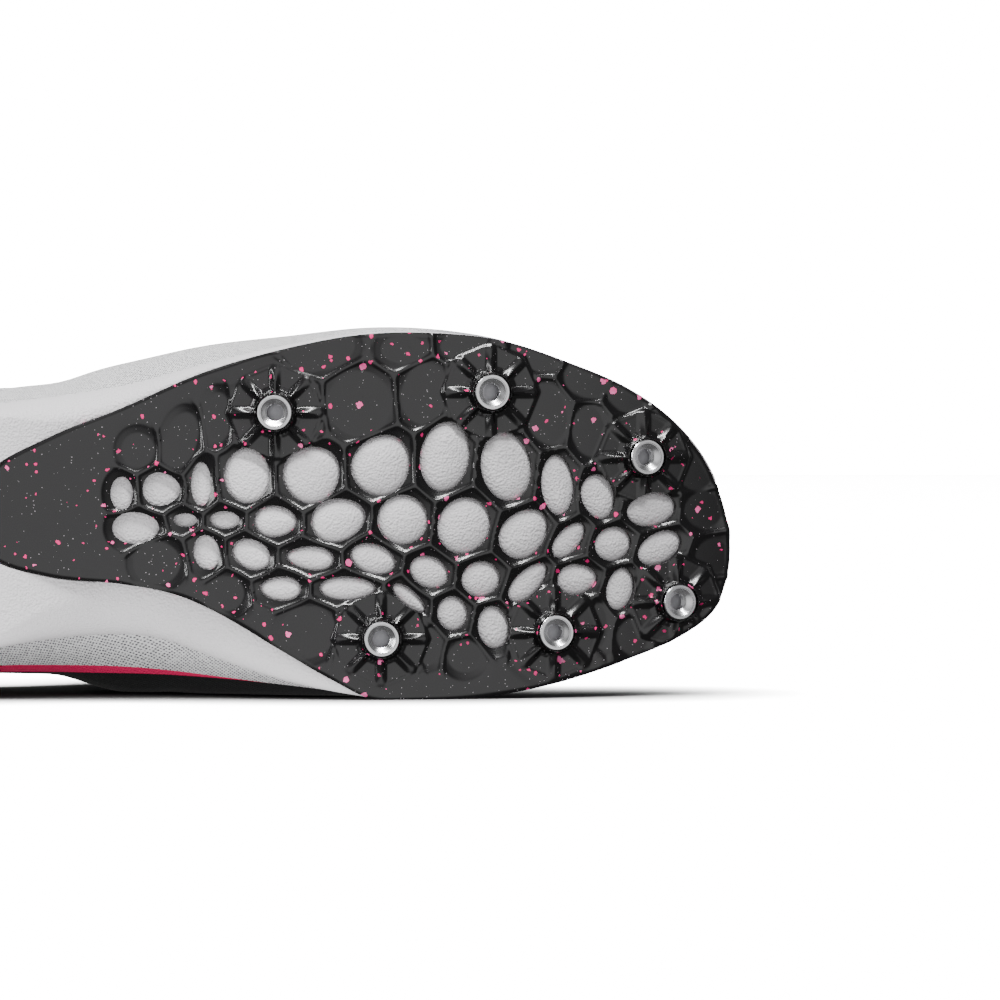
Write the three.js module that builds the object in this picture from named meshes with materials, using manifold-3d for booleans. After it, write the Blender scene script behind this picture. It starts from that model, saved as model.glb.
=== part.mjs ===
// Track spike shoe for the right foot, in millimetres.
//
// The shoe is worked out standing up: x runs from the heel (0) to the toe, "across" runs from the line
// that touches ball and heel on the medial side (0) to the lateral side, and z runs up from the ground.
// The finished shoe is laid on its medial side, sole towards -Y, as it lies when the sole is shown.

import * as THREE from "three";
import { mergeVertices } from "three/addons/utils/BufferGeometryUtils.js";
import Module from "manifold-3d";

const wasm = await Module();
wasm.setup();

// Overall form
const shoeLength = 282;
const ballWidth = 97.6;
const ballAlong = 172; // where the sole leaves the ground towards the toe
const heelPadBack = 24;
const heelPadFront = 84;
const toeSpring = 29;
const toeSpringPower = 1.8;
const archRise = 3.5;
const heelBevel = 5;
const floorTrim = 0.35; // how deep the flat spots that it lies on are worn in

// Sole
const plateThickness = 2.8;
const plateChamfer = 1.1;
const heelStack = 26;
const forefootStack = 13;
const toeStack = 10;
const soleEdgeLead = 4; // how far the foam's tread edge lies inside its top edge at the heel
const fitGap = 0.3;
const insoleThickness = 3;

// Windows and pockets moulded into the plate
const windowFlare = 1.22;
const windowFlareDepth = 1.2;
const windowSides = 8;
const pocketSides = 6;
const pocketDepth = 1;
const pocketMargin = 2.2;
const pocketFloorShare = 0.8;
const cutterReach = 9;

// Threaded spike seats
const seatFlange = 9.4;
const seatMouth = 6.6;
const seatBore = 4.9;
const seatDepth = 4.2;
const seatHeight = 5;
const seatProud = 0.2;
const bossTop = 12.6;
const bossHeight = 2.4;
const gussetReach = 12.5;
const gussetValley = 8.4;
const gussetCount = 8;
const seatSides = 12;

// Upper
const upperInset = 0.6;
const wallThickness = 1.6;
const instepHeight = 88;
const collarHeight = 92;
const formTop = 140; // the last's leg is cut off by the collar well below this
const legCentre = 54;
const legLength = 74;
const legWidth = 52;
const throatPoint = 187;
const throatTop = 96;
const throatWidth = 27;
const throatPointShare = 0.72; // the throat's width at its point, as a share of its full width
const throatRound = 6.75; // how far back from the throat's point its round end reaches
const throatFloor = 36; // the throat's cuts and the tongue stay above this height
const eyestayWidth = 13;
const eyestayStep = 0.8;
const eyeletDiameter = 4;
const eyeletPairs = 6;
const eyeletSetback = 6;
const eyeletFront = 178;
const eyeletBack = 122;

// Tongue and lace
const tongueThickness = 2;
const tongueOverlap = 7;
const tongueTop = 110;
const laceWidth = 5;
const laceThickness = 1.2;
const laceClearance = 0.9;

// How finely the forms are worked out
const columns = 24; // steps from heel to toe on each side of a ring
const arcSteps = 6; // rings from the upper's widest line to its ridge
const seatClimbs = [0.45, 1]; // rings from the upper's seat to its widest line
const foamClimbs = [0.25, 0.55, 0.8]; // rings between the foam's tread and its top
const seatDrop = 8; // how far the upper's form runs on below its seat before it is trimmed
const endShare = 0.0005; // how near an outline's two ends its edges can be read

// Outlines as shares: along the shoe length from the heel, across the ball width from the medial line.
// Each starts at the heel and runs along the lateral side to the toe and back along the medial side.
const plateOutline = [
  { along: 0.277, across: 0.5 }, { along: 0.298, across: 0.62 }, { along: 0.355, across: 0.715 },
  { along: 0.4255, across: 0.8 }, { along: 0.4965, across: 0.89 }, { along: 0.5716, across: 0.954 },
  { along: 0.6472, across: 0.995 }, { along: 0.7152, across: 1 }, { along: 0.7801, across: 0.98 },
  { along: 0.8429, across: 0.921 }, { along: 0.8972, across: 0.8545 }, { along: 0.9387, across: 0.7736 },
  { along: 0.9699, across: 0.674 }, { along: 0.9887, across: 0.5687 }, { along: 0.9979, across: 0.471 },
  { along: 1, across: 0.4027 }, { along: 0.9961, across: 0.3145 }, { along: 0.9823, across: 0.2336 },
  { along: 0.9489, across: 0.1639 }, { along: 0.8972, across: 0.1025 }, { along: 0.8326, across: 0.0441 },
  { along: 0.7695, across: 0.0113 }, { along: 0.706, across: 0 }, { along: 0.6585, across: 0.0051 },
  { along: 0.6209, across: 0.0564 }, { along: 0.5734, across: 0.1342 }, { along: 0.5262, across: 0.2162 },
  { along: 0.477, across: 0.2838 }, { along: 0.4255, across: 0.3156 }, { along: 0.355, across: 0.338 },
  { along: 0.298, across: 0.395 },
];
const foamOutline = [
  { along: 0, across: 0.379 }, { along: 0.0142, across: 0.543 }, { along: 0.0496, across: 0.676 },
  { along: 0.1135, across: 0.753 }, { along: 0.2057, across: 0.784 }, { along: 0.319, across: 0.815 },
  { along: 0.4255, across: 0.861 }, { along: 0.4965, across: 0.916 }, { along: 0.5716, across: 0.966 },
  { along: 0.6472, across: 1.001 }, { along: 0.7152, across: 1.004 }, { along: 0.7801, across: 0.979 },
  { along: 0.8429, across: 0.918 }, { along: 0.8972, across: 0.851 }, { along: 0.9387, across: 0.77 },
  { along: 0.9692, across: 0.67 }, { along: 0.9872, across: 0.5687 }, { along: 0.9958, across: 0.471 },
  { along: 0.9977, across: 0.4027 }, { along: 0.994, across: 0.318 }, { along: 0.9802, across: 0.2395 },
  { along: 0.9489, across: 0.1685 }, { along: 0.8972, across: 0.1055 }, { along: 0.8326, across: 0.0471 },
  { along: 0.7695, across: 0.0125 }, { along: 0.706, across: 0 }, { along: 0.6454, across: 0.0092 },
  { along: 0.5745, across: 0.0492 }, { along: 0.5035, across: 0.1148 }, { along: 0.4553, across: 0.163 },
  { along: 0.4113, across: 0.1742 }, { along: 0.3085, across: 0.14 }, { along: 0.2128, across: 0.062 },
  { along: 0.1277, across: -0.003 }, { along: 0.0674, across: 0.035 }, { along: 0.0213, across: 0.159 },
];

// How the upper leaves its seat: out by a share of the ball width, over a rise that is a share of the
// instep height, and how square the section is above that widest line.
const quarterSections = [
  { along: 0, out: { medial: 0.012, lateral: 0.012 }, rise: 0.13, power: { medial: 1.7, lateral: 1.7 } },
  { along: 0.14, out: { medial: 0.006, lateral: 0.022 }, rise: 0.14, power: { medial: 1.7, lateral: 1.7 } },
  { along: 0.25, out: { medial: 0.05, lateral: 0.035 }, rise: 0.2, power: { medial: 1.8, lateral: 1.7 } },
  { along: 0.35, out: { medial: 0.135, lateral: 0.06 }, rise: 0.27, power: { medial: 1.9, lateral: 1.7 } },
  { along: 0.43, out: { medial: 0.184, lateral: 0.072 }, rise: 0.31, power: { medial: 1.9, lateral: 1.65 } },
  { along: 0.5, out: { medial: 0.135, lateral: 0.06 }, rise: 0.28, power: { medial: 1.9, lateral: 1.6 } },
  { along: 0.575, out: { medial: 0.058, lateral: 0.034 }, rise: 0.19, power: { medial: 1.9, lateral: 1.7 } },
  { along: 0.65, out: { medial: 0.012, lateral: 0.022 }, rise: 0.1, power: { medial: 1.9, lateral: 1.8 } },
  { along: 0.78, out: { medial: 0.008, lateral: 0.01 }, rise: 0.08, power: { medial: 2, lateral: 1.9 } },
  { along: 0.9, out: { medial: 0.004, lateral: 0.004 }, rise: 0.07, power: { medial: 2.1, lateral: 2.1 } },
  { along: 1, out: { medial: 0.002, lateral: 0.002 }, rise: 0.06, power: { medial: 2.1, lateral: 2.1 } },
];

// The line over the top of the foot, from the leg down to the toe: share of the way along the seat,
// place along the shoe, height above the toe spring as a share of the instep height, place across.
const ridgeStart = 0.4;
const ridgeLine = [
  { share: 0.4, along: 0.323, height: 1.59, across: 0.395 },
  { share: 0.45, along: 0.344, height: 1.34, across: 0.4 },
  { share: 0.5, along: 0.376, height: 1.136, across: 0.405 },
  { share: 0.57, along: 0.429, height: 0.977, across: 0.41 },
  { share: 0.65, along: 0.532, height: 0.778, across: 0.41 },
  { share: 0.75, along: 0.663, height: 0.616, across: 0.43 },
  { share: 0.85, along: 0.787, height: 0.495, across: 0.435 },
  { share: 0.94, along: 0.894, height: 0.41, across: 0.42 },
  { share: 1, along: 0.957, height: 0.3, across: 0.405 },
];

// The collar's edge from the side, from the heel to the top of the throat.
const collarLine = [
  { along: -0.04, height: 1.02 }, { along: 0.035, height: 1 }, { along: 0.1, height: 0.88 },
  { along: 0.19, height: 0.73 }, { along: 0.28, height: 0.735 }, { along: 0.355, height: 0.88 },
  { along: 0.405, height: 1.06 },
];

// Windows through the plate, in rows from the lateral side to the medial side. Places are shares of
// shoe length and ball width, sizes are shares of ball width, and turn is in degrees.
const windows = [
  { along: 0.422, across: 0.564, long: 0.06, wide: 0.09, turn: 0 },
  { along: 0.459, across: 0.575, long: 0.101, wide: 0.09, turn: 0 },
  { along: 0.496, across: 0.589, long: 0.055, wide: 0.12, turn: 0 },
  { along: 0.539, across: 0.612, long: 0.126, wide: 0.151, turn: 0 },
  { along: 0.601, across: 0.616, long: 0.161, wide: 0.153, turn: 40 },
  { along: 0.667, across: 0.642, long: 0.156, wide: 0.172, turn: -35 },
  { along: 0.727, across: 0.664, long: 0.136, wide: 0.192, turn: -10 },
  { along: 0.785, across: 0.636, long: 0.139, wide: 0.189, turn: 10 },
  { along: 0.834, across: 0.585, long: 0.091, wide: 0.167, turn: 5 },
  { along: 0.873, across: 0.552, long: 0.093, wide: 0.126, turn: 15 },
  { along: 0.924, across: 0.517, long: 0.139, wide: 0.093, turn: 10 },
  { along: 0.435, across: 0.47, long: 0.126, wide: 0.085, turn: 0 },
  { along: 0.481, across: 0.491, long: 0.065, wide: 0.037, turn: 0 },
  { along: 0.518, across: 0.491, long: 0.084, wide: 0.049, turn: 0 },
  { along: 0.566, across: 0.488, long: 0.12, wide: 0.087, turn: 0 },
  { along: 0.626, across: 0.492, long: 0.153, wide: 0.118, turn: 15 },
  { along: 0.687, across: 0.492, long: 0.139, wide: 0.136, turn: 0 },
  { along: 0.745, across: 0.476, long: 0.143, wide: 0.158, turn: -30 },
  { along: 0.802, across: 0.454, long: 0.151, wide: 0.12, turn: 45 },
  { along: 0.845, across: 0.435, long: 0.119, wide: 0.066, turn: 48 },
  { along: 0.887, across: 0.423, long: 0.103, wide: 0.094, turn: 20 },
  { along: 0.932, across: 0.411, long: 0.131, wide: 0.085, turn: 28 },
  { along: 0.501, across: 0.403, long: 0.071, wide: 0.095, turn: 10 },
  { along: 0.543, across: 0.398, long: 0.11, wide: 0.082, turn: -22 },
  { along: 0.599, across: 0.388, long: 0.134, wide: 0.067, turn: -4 },
  { along: 0.659, across: 0.386, long: 0.128, wide: 0.082, turn: -17 },
  { along: 0.712, across: 0.35, long: 0.112, wide: 0.085, turn: -25 },
  { along: 0.761, across: 0.33, long: 0.108, wide: 0.098, turn: 10 },
  { along: 0.806, across: 0.32, long: 0.138, wide: 0.069, turn: 45 },
  { along: 0.853, across: 0.327, long: 0.112, wide: 0.085, turn: 5 },
  { along: 0.894, across: 0.299, long: 0.077, wide: 0.118, turn: -12 },
  { along: 0.571, across: 0.305, long: 0.115, wide: 0.067, turn: 0 },
  { along: 0.635, across: 0.306, long: 0.156, wide: 0.065, turn: 0 },
  { along: 0.693, across: 0.279, long: 0.114, wide: 0.045, turn: -40 },
  { along: 0.734, across: 0.237, long: 0.085, wide: 0.095, turn: 10 },
  { along: 0.773, across: 0.198, long: 0.087, wide: 0.118, turn: 10 },
];

// Shallow pockets that leave the plate closed, in the same columns.
const pockets = [
  { along: 0.437, across: 0.683, long: 0.082, wide: 0.087, turn: 0 },
  { along: 0.478, across: 0.71, long: 0.082, wide: 0.148, turn: -15 },
  { along: 0.513, across: 0.77, long: 0.061, wide: 0.133, turn: 0 },
  { along: 0.611, across: 0.951, long: 0.177, wide: 0.098, turn: 15 },
  { along: 0.646, across: 0.809, long: 0.167, wide: 0.172, turn: 0 },
  { along: 0.707, across: 0.836, long: 0.118, wide: 0.159, turn: -15 },
  { along: 0.687, across: 0.956, long: 0.115, wide: 0.072, turn: 0 },
  { along: 0.744, across: 0.964, long: 0.123, wide: 0.066, turn: 0 },
  { along: 0.823, across: 0.78, long: 0.112, wide: 0.164, turn: 10 },
  { along: 0.863, across: 0.734, long: 0.09, wide: 0.136, turn: 0 },
  { along: 0.81, across: 0.935, long: 0.133, wide: 0.066, turn: -15 },
  { along: 0.86, across: 0.872, long: 0.123, wide: 0.09, turn: -20 },
  { along: 0.898, across: 0.825, long: 0.11, wide: 0.077, turn: -30 },
  { along: 0.966, across: 0.636, long: 0.11, wide: 0.133, turn: 0 },
  { along: 0.974, across: 0.514, long: 0.11, wide: 0.102, turn: 0 },
  { along: 0.983, across: 0.386, long: 0.102, wide: 0.098, turn: 0 },
  { along: 0.989, across: 0.276, long: 0.054, wide: 0.082, turn: 0 },
  { along: 0.872, across: 0.198, long: 0.055, wide: 0.118, turn: 0 },
  { along: 0.905, across: 0.167, long: 0.087, wide: 0.098, turn: 0 },
  { along: 0.745, across: 0.118, long: 0.085, wide: 0.079, turn: 0 },
  { along: 0.711, across: 0.148, long: 0.054, wide: 0.092, turn: 0 },
  { along: 0.596, across: 0.186, long: 0.156, wide: 0.134, turn: 25 },
  { along: 0.522, across: 0.292, long: 0.085, wide: 0.09, turn: 0 },
  { along: 0.455, across: 0.374, long: 0.123, wide: 0.11, turn: 0 },
];

// Centres of the six spike seats, in the order lateral heelward, lateral ball, lateral toe, medial toe,
// medial ball front and medial ball.
const spikeSeats = [
  { along: 0.567, across: 0.784 },
  { along: 0.769, across: 0.839 },
  { along: 0.915, across: 0.661 },
  { along: 0.946, across: 0.262 },
  { along: 0.829, across: 0.183 },
  { along: 0.666, across: 0.169 },
];

const clamp = THREE.MathUtils.clamp;
const lerp = THREE.MathUtils.lerp;

function point(x, across, z) {
  return new THREE.Vector3(x, -across, z);
}

// Reads a column of a table at a place along it, with smooth passage through the rows.
function readTable(table, key, at, column) {
  const last = table.length - 1;
  let row = 0;
  while (row < last - 1 && at > table[row + 1][key]) {
    row += 1;
  }
  const near = table[row];
  const far = table[row + 1];
  const t = clamp((at - near[key]) / (far[key] - near[key]), 0, 1);
  const slopeAt = (k) => {
    const before = table[Math.max(k - 1, 0)];
    const after = table[Math.min(k + 1, last)];
    return (column(after) - column(before)) / (after[key] - before[key]);
  };
  const span = far[key] - near[key];
  const startPull = slopeAt(row) * span;
  const endPull = slopeAt(row + 1) * span;
  const t2 = t * t;
  const t3 = t2 * t;
  return (
    (2 * t3 - 3 * t2 + 1) * column(near) +
    (t3 - 2 * t2 + t) * startPull +
    (3 * t2 - 2 * t3) * column(far) +
    (t3 - t2) * endPull
  );
}

// Height of the sole's lines at a place along the shoe
function springAt(x) {
  const past = Math.max((x - ballAlong) / (shoeLength - ballAlong), 0);
  return toeSpring * past ** toeSpringPower;
}

function treadAt(x) {
  const arch = clamp((x - heelPadFront) / (ballAlong - heelPadFront), 0, 1);
  const bevel = clamp((heelPadBack - x) / heelPadBack, 0, 1);
  return springAt(x) + archRise * Math.sin(arch * Math.PI) ** 2 + heelBevel * bevel ** 2;
}

function treadSlope(x) {
  const step = 0.5;
  return (treadAt(x + step) - treadAt(x - step)) / (2 * step);
}

function foamTopAt(x) {
  const forward = THREE.MathUtils.smoothstep(x, heelPadFront - heelPadBack, ballAlong);
  const nose = THREE.MathUtils.smoothstep(x, ballAlong, shoeLength);
  return springAt(x) + lerp(lerp(heelStack, forefootStack, forward), toeStack, nose);
}

// Turns an outline table into its two edges at any share of its own length.
function outlineEdges(table) {
  const corners = table.map((row) => new THREE.Vector3(row.along * shoeLength, row.across * ballWidth, 0));
  const samples = new THREE.CatmullRomCurve3(corners, true, "centripetal").getPoints(12 * corners.length);
  const back = samples.reduce((a, b) => (b.x < a.x ? b : a));
  const front = samples.reduce((a, b) => (b.x > a.x ? b : a));
  return (share) => {
    const x = lerp(back.x, front.x, share);
    if (share <= 0 || share >= 1) {
      const end = share <= 0 ? back : front;
      return { x, medial: end.y, lateral: end.y };
    }
    const crossings = [];
    for (let k = 1; k < samples.length; k += 1) {
      const a = samples[k - 1];
      const b = samples[k];
      if (a.x > x !== b.x > x) {
        crossings.push(lerp(a.y, b.y, (x - a.x) / (b.x - a.x)));
      }
    }
    return { x, medial: Math.min(...crossings), lateral: Math.max(...crossings) };
  };
}

// Shares along an outline that crowd together at its round ends.
function columnShare(k) {
  return (1 - Math.cos((Math.PI * k) / columns)) / 2;
}

// A ring runs from the heel along the lateral side to the toe and back along the medial side.
function ringFrom(edges, heightAt) {
  const lateral = [];
  const medial = [];
  for (let k = 0; k <= columns; k += 1) {
    const edge = edges(columnShare(k));
    const z = heightAt(edge.x);
    lateral.push(point(edge.x, edge.lateral, z));
    medial.push(point(edge.x, edge.medial, z));
  }
  return lateral.concat(medial.slice(1, columns).reverse());
}

function ringPlace(index) {
  const onMedial = index > columns;
  return { share: columnShare(onMedial ? 2 * columns - index : index), side: onMedial ? "medial" : "lateral" };
}

// Moves each point of a ring out in plan by its own amount.
function pushOut(ring, amountAt) {
  const count = ring.length;
  return ring.map((corner, index) => {
    const before = ring[(index + count - 1) % count];
    const after = ring[(index + 1) % count];
    const outward = new THREE.Vector3(after.y - before.y, before.x - after.x, 0).normalize();
    return corner.clone().addScaledVector(outward, amountAt(index));
  });
}

function raised(ring, heightAt) {
  return ring.map((corner) => new THREE.Vector3(corner.x, corner.y, heightAt(corner)));
}

// A point on the rounded wall that leans out from a low point to a high one
function leaning(low, high, climb) {
  const spread = Math.sin((climb * Math.PI) / 2);
  return new THREE.Vector3(lerp(low.x, high.x, spread), lerp(low.y, high.y, spread), lerp(low.z, high.z, climb));
}

// A solid from triangles, with shared corners merged and empty triangles dropped.
function solidFrom(geometry) {
  geometry.deleteAttribute("normal");
  geometry.deleteAttribute("uv");
  const merged = mergeVertices(geometry);
  const index = Array.from(merged.index.array);
  const kept = [];
  for (let k = 0; k < index.length; k += 3) {
    const [a, b, c] = index.slice(k, k + 3);
    if (a !== b && b !== c && c !== a) {
      kept.push(a, b, c);
    }
  }
  const vertProperties = Float32Array.from(merged.attributes.position.array);
  const triVerts = Uint32Array.from(kept);
  return new wasm.Manifold(new wasm.Mesh({ numProp: 3, vertProperties, triVerts }));
}

// Closes a stack of rings: walls between them, and strips from side to side at both ends.
function ringSolid(rings) {
  const around = rings[0].length;
  const positions = rings.flat().flatMap((corner) => [corner.x, corner.y, corner.z]);
  const triangles = [];
  for (let level = 0; level < rings.length - 1; level += 1) {
    for (let k = 0; k < around; k += 1) {
      const a = level * around + k;
      const b = level * around + ((k + 1) % around);
      triangles.push(a, b, b + around, a, b + around, a + around);
    }
  }
  const top = (rings.length - 1) * around;
  for (let k = 0; k < columns; k += 1) {
    const nearMedial = (around - k) % around;
    const farMedial = around - k - 1;
    triangles.push(k + 1, k, farMedial, k, nearMedial, farMedial);
    triangles.push(top + k, top + k + 1, top + farMedial, top + k, top + farMedial, top + nearMedial);
  }
  const geometry = new THREE.BufferGeometry();
  geometry.setAttribute("position", new THREE.Float32BufferAttribute(positions, 3));
  geometry.setIndex(triangles);
  return solidFrom(geometry);
}

// A prism over a shape drawn in plan, as x and across, from one height to another.
function planPrism(corners, low, high) {
  const shape = new THREE.Shape(corners.map(([x, across]) => new THREE.Vector2(x, -across)));
  const geometry = new THREE.ExtrudeGeometry(shape, { depth: high - low, bevelEnabled: false });
  return solidFrom(geometry.translate(0, 0, low));
}

// A prism across the shoe over a shape drawn from the side, as x and z.
function sidePrism(corners) {
  const shape = new THREE.Shape(corners.map(([x, z]) => new THREE.Vector2(x, z)));
  const geometry = new THREE.ExtrudeGeometry(shape, { depth: 3 * ballWidth, bevelEnabled: false });
  return solidFrom(geometry.rotateX(Math.PI / 2).translate(0, ballWidth, 0));
}

// Everything below the foam's top and the gap over it, with the foam's own steps along the shoe
function belowFoamTop() {
  const margin = 30;
  const corners = [];
  for (let k = 0; k <= columns; k += 1) {
    const x = foamEdges(columnShare(k)).x;
    corners.push([x, foamTopAt(x) + fitGap]);
  }
  corners.push([shoeLength + margin, foamTopAt(shoeLength) + fitGap]);
  corners.push([shoeLength + margin, -margin], [-margin, -margin], [-margin, foamTopAt(0) + fitGap]);
  return sidePrism(corners);
}

function belowFloor() {
  const reach = 2 * shoeLength;
  const geometry = new THREE.BoxGeometry(reach, reach, reach);
  return solidFrom(geometry.translate(0, reach / 2 - floorTrim, 0));
}

// Puts a piece that is modelled around its own z axis onto the tread, square to it.
function onTread(geometry, spot) {
  const x = spot.along * shoeLength;
  const turn = new THREE.Matrix4().makeRotationY(-Math.atan(treadSlope(x)));
  turn.setPosition(point(x, spot.across * ballWidth, treadAt(x)));
  return geometry.applyMatrix4(turn);
}

function turned(profile, sides) {
  const corners = profile.map(([radius, z]) => new THREE.Vector2(radius, z));
  return new THREE.LatheGeometry(corners, sides).rotateX(Math.PI / 2);
}

const soleEdges = outlineEdges(plateOutline);
const foamEdges = outlineEdges(foamOutline);

function plateBlank(grow, low, high) {
  const edge = pushOut(ringFrom(soleEdges, treadAt), () => grow);
  const tread = pushOut(edge, () => -plateChamfer);
  return ringSolid([
    raised(tread, (corner) => treadAt(corner.x) + low),
    raised(edge, (corner) => treadAt(corner.x) + low + plateChamfer),
    raised(edge, (corner) => treadAt(corner.x) + high),
  ]);
}

// An oval cutter. Its size along the shoe is measured in plan, so it is longer on the sloping tread.
function ovalCutter(opening, profile, sides) {
  const slope = Math.atan(treadSlope(opening.along * shoeLength));
  const geometry = turned(profile, sides);
  geometry.scale(opening.long * ballWidth, opening.wide * ballWidth, 1);
  geometry.rotateZ(THREE.MathUtils.degToRad(-opening.turn));
  geometry.scale(1 / Math.cos(slope), 1, 1);
  return solidFrom(onTread(geometry, opening));
}

const windowProfile = [
  [0, -cutterReach], [windowFlare / 2, -cutterReach], [windowFlare / 2, 0], [0.5, windowFlareDepth],
  [0.5, cutterReach], [0, cutterReach],
];
const pocketProfile = [
  [0, -cutterReach], [0.5, -cutterReach], [0.5, 0], [pocketFloorShare / 2, pocketDepth], [0, pocketDepth],
];

// The raised star around a spike seat: a ring on top and gussets that run out to points on the tread.
function gussetStar(seat) {
  const corners = 2 * gussetCount;
  const sunk = plateThickness / 2;
  const positions = [0, 0, -bossHeight];
  const triangles = [];
  for (let k = 0; k < corners; k += 1) {
    const angle = (2 * Math.PI * k) / corners;
    const reach = k % 2 === 0 ? gussetReach : gussetValley;
    for (const [radius, z] of [[bossTop / 2, -bossHeight], [reach, 0], [reach, sunk]]) {
      positions.push(radius * Math.cos(angle), radius * Math.sin(angle), z);
    }
  }
  positions.push(0, 0, sunk);
  const deep = positions.length / 3 - 1;
  for (let k = 0; k < corners; k += 1) {
    const a = 1 + 3 * k;
    const b = 1 + 3 * ((k + 1) % corners);
    triangles.push(0, b, a, deep, a + 2, b + 2);
    triangles.push(a, b, b + 1, a, b + 1, a + 1);
    triangles.push(a + 1, b + 1, b + 2, a + 1, b + 2, a + 2);
  }
  const geometry = new THREE.BufferGeometry();
  geometry.setAttribute("position", new THREE.Float32BufferAttribute(positions, 3));
  geometry.setIndex(triangles);
  return solidFrom(onTread(geometry, seat));
}

function seatPocket(seat) {
  const radius = seatFlange / 2 + fitGap;
  const profile = [[0, -cutterReach], [radius, -cutterReach], [radius, cutterReach], [0, cutterReach]];
  return solidFrom(onTread(turned(profile, seatSides), seat));
}

// The outsole plate: a thin curved board with windows, pockets and gusseted spike bosses
function makePlate() {
  const blank = plateBlank(0, 0, plateThickness);
  const inner = plateBlank(-pocketMargin, -cutterReach, plateThickness + cutterReach);
  let pocketCut = wasm.Manifold.union(pockets.map((pocket) => ovalCutter(pocket, pocketProfile, pocketSides)));
  pocketCut = pocketCut.intersect(inner);
  const windowCut = wasm.Manifold.union(windows.map((opening) => ovalCutter(opening, windowProfile, windowSides)));
  const stars = wasm.Manifold.union(spikeSeats.map(gussetStar)).intersect(inner);
  const seatCut = wasm.Manifold.union(spikeSeats.map(seatPocket));
  return blank.subtract(pocketCut).add(stars).subtract(windowCut).subtract(seatCut);
}

// A spike seat: a flanged steel bush with a chamfered blind bore, open towards the ground
function makeSpikeSeat(seat) {
  const low = -bossHeight - seatProud;
  const chamfer = (seatMouth - seatBore) / 2;
  const profile = [
    [0, low + seatDepth], [seatBore / 2, low + seatDepth], [seatBore / 2, low + chamfer],
    [seatMouth / 2, low], [seatFlange / 2, low], [seatFlange / 2, low + seatHeight],
    [0, low + seatHeight],
  ];
  return solidFrom(onTread(turned(profile, seatSides), seat));
}

// The foam midsole: rounded from the tread edge out to its top edge, recessed for the plate
function makeMidsole() {
  const top = ringFrom(foamEdges, foamTopAt);
  const tread = pushOut(top, () => -soleEdgeLead).map(({ x, y }, index) => {
    const forward = THREE.MathUtils.smoothstep(x, heelPadFront, 2 * heelPadFront);
    const onPlate = plateThickness + 1.5 * fitGap;
    return new THREE.Vector3(x, lerp(y, plateEdgeY(x, index), forward), treadAt(x) + forward * onPlate);
  });
  const rings = [tread];
  for (const climb of foamClimbs) {
    rings.push(tread.map((corner, index) => leaning(corner, top[index], climb)));
  }
  return ringSolid([...rings, top]).subtract(plateBlank(fitGap, -cutterReach, plateThickness + fitGap));
}

// The plate edge's y at a given x, on the side that a ring index lies on
function plateEdgeY(x, index) {
  const [back, front] = [soleEdges(0).x, soleEdges(1).x];
  const edge = soleEdges(clamp((x - back) / (front - back), endShare, 1 - endShare));
  return -edge[ringPlace(index).side];
}

// The line over the foot at a share of the seat's length, moved out square to itself by grow
function ridgeAt(share, grow) {
  const place = (at) => {
    const x = readTable(ridgeLine, "share", at, (row) => row.along) * shoeLength;
    const z = springAt(x) + readTable(ridgeLine, "share", at, (row) => row.height) * instepHeight;
    return new THREE.Vector2(x, z);
  };
  const step = 0.004;
  const here = place(share);
  const run = place(Math.min(share + step, 1)).sub(place(Math.max(share - step, ridgeStart))).normalize();
  const across = readTable(ridgeLine, "share", share, (row) => row.across) * ballWidth;
  return point(here.x - run.y * grow, across, here.y + run.x * grow);
}

function legAt(share, side, grow) {
  const angle = (Math.PI * share) / ridgeStart;
  const centre = ridgeLine[0].across * ballWidth;
  const sideways = (legWidth / 2 + grow) * Math.sin(angle) * (side === "medial" ? -1 : 1);
  return point(legCentre - (legLength / 2 + grow) * Math.cos(angle), centre + sideways, formTop);
}

// The last's form, thicker or thinner by grow. It is closed over the foot and cut off at the leg.
function lastForm(grow) {
  const seat = pushOut(ringFrom(foamEdges, foamTopAt), () => grow - upperInset);
  const section = (index, column) => readTable(quarterSections, "along", ringPlace(index).share, column);
  const widest = pushOut(seat, (index) => {
    const side = ringPlace(index).side;
    return section(index, (row) => row.out[side]) * ballWidth;
  }).map((corner, index) => corner.setZ(corner.z + section(index, (row) => row.rise) * instepHeight));
  const crown = seat.map((corner, index) => {
    const { share, side } = ringPlace(index);
    return share < ridgeStart ? legAt(share, side, grow) : ridgeAt(share, grow);
  });
  const rings = [raised(seat, (corner) => corner.z - seatDrop - Math.max(-grow, 0)), seat];
  for (const climb of seatClimbs) {
    rings.push(seat.map((corner, index) => leaning(corner, widest[index], climb)));
  }
  for (let k = 1; k <= arcSteps; k += 1) {
    const angle = (Math.PI / 2) * (k / arcSteps);
    rings.push(widest.map((corner, index) => {
      const side = ringPlace(index).side;
      const power = 2 / section(index, (row) => row.power[side]);
      const sideways = k === arcSteps ? 0 : Math.cos(angle) ** power;
      const upward = Math.sin(angle) ** power;
      return new THREE.Vector3(
        lerp(crown[index].x, corner.x, sideways),
        lerp(crown[index].y, corner.y, sideways),
        lerp(corner.z, crown[index].z, upward),
      );
    }));
  }
  return ringSolid(rings);
}

function ridgeAcross(x) {
  return readTable(ridgeLine, "along", x / shoeLength, (row) => row.across) * ballWidth;
}

// Half the throat's width at a place along it, round at the throat point
function throatHalf(x, grow) {
  const past = clamp((throatPoint + grow - x) / (throatRound + grow), 0, 1);
  const round = Math.sqrt(1 - (1 - past) ** 2);
  const opened = clamp((throatPoint - x) / (throatPoint - throatTop), 0, 1);
  return round * ((throatWidth / 2) * lerp(throatPointShare, 1, opened) + grow);
}

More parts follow.
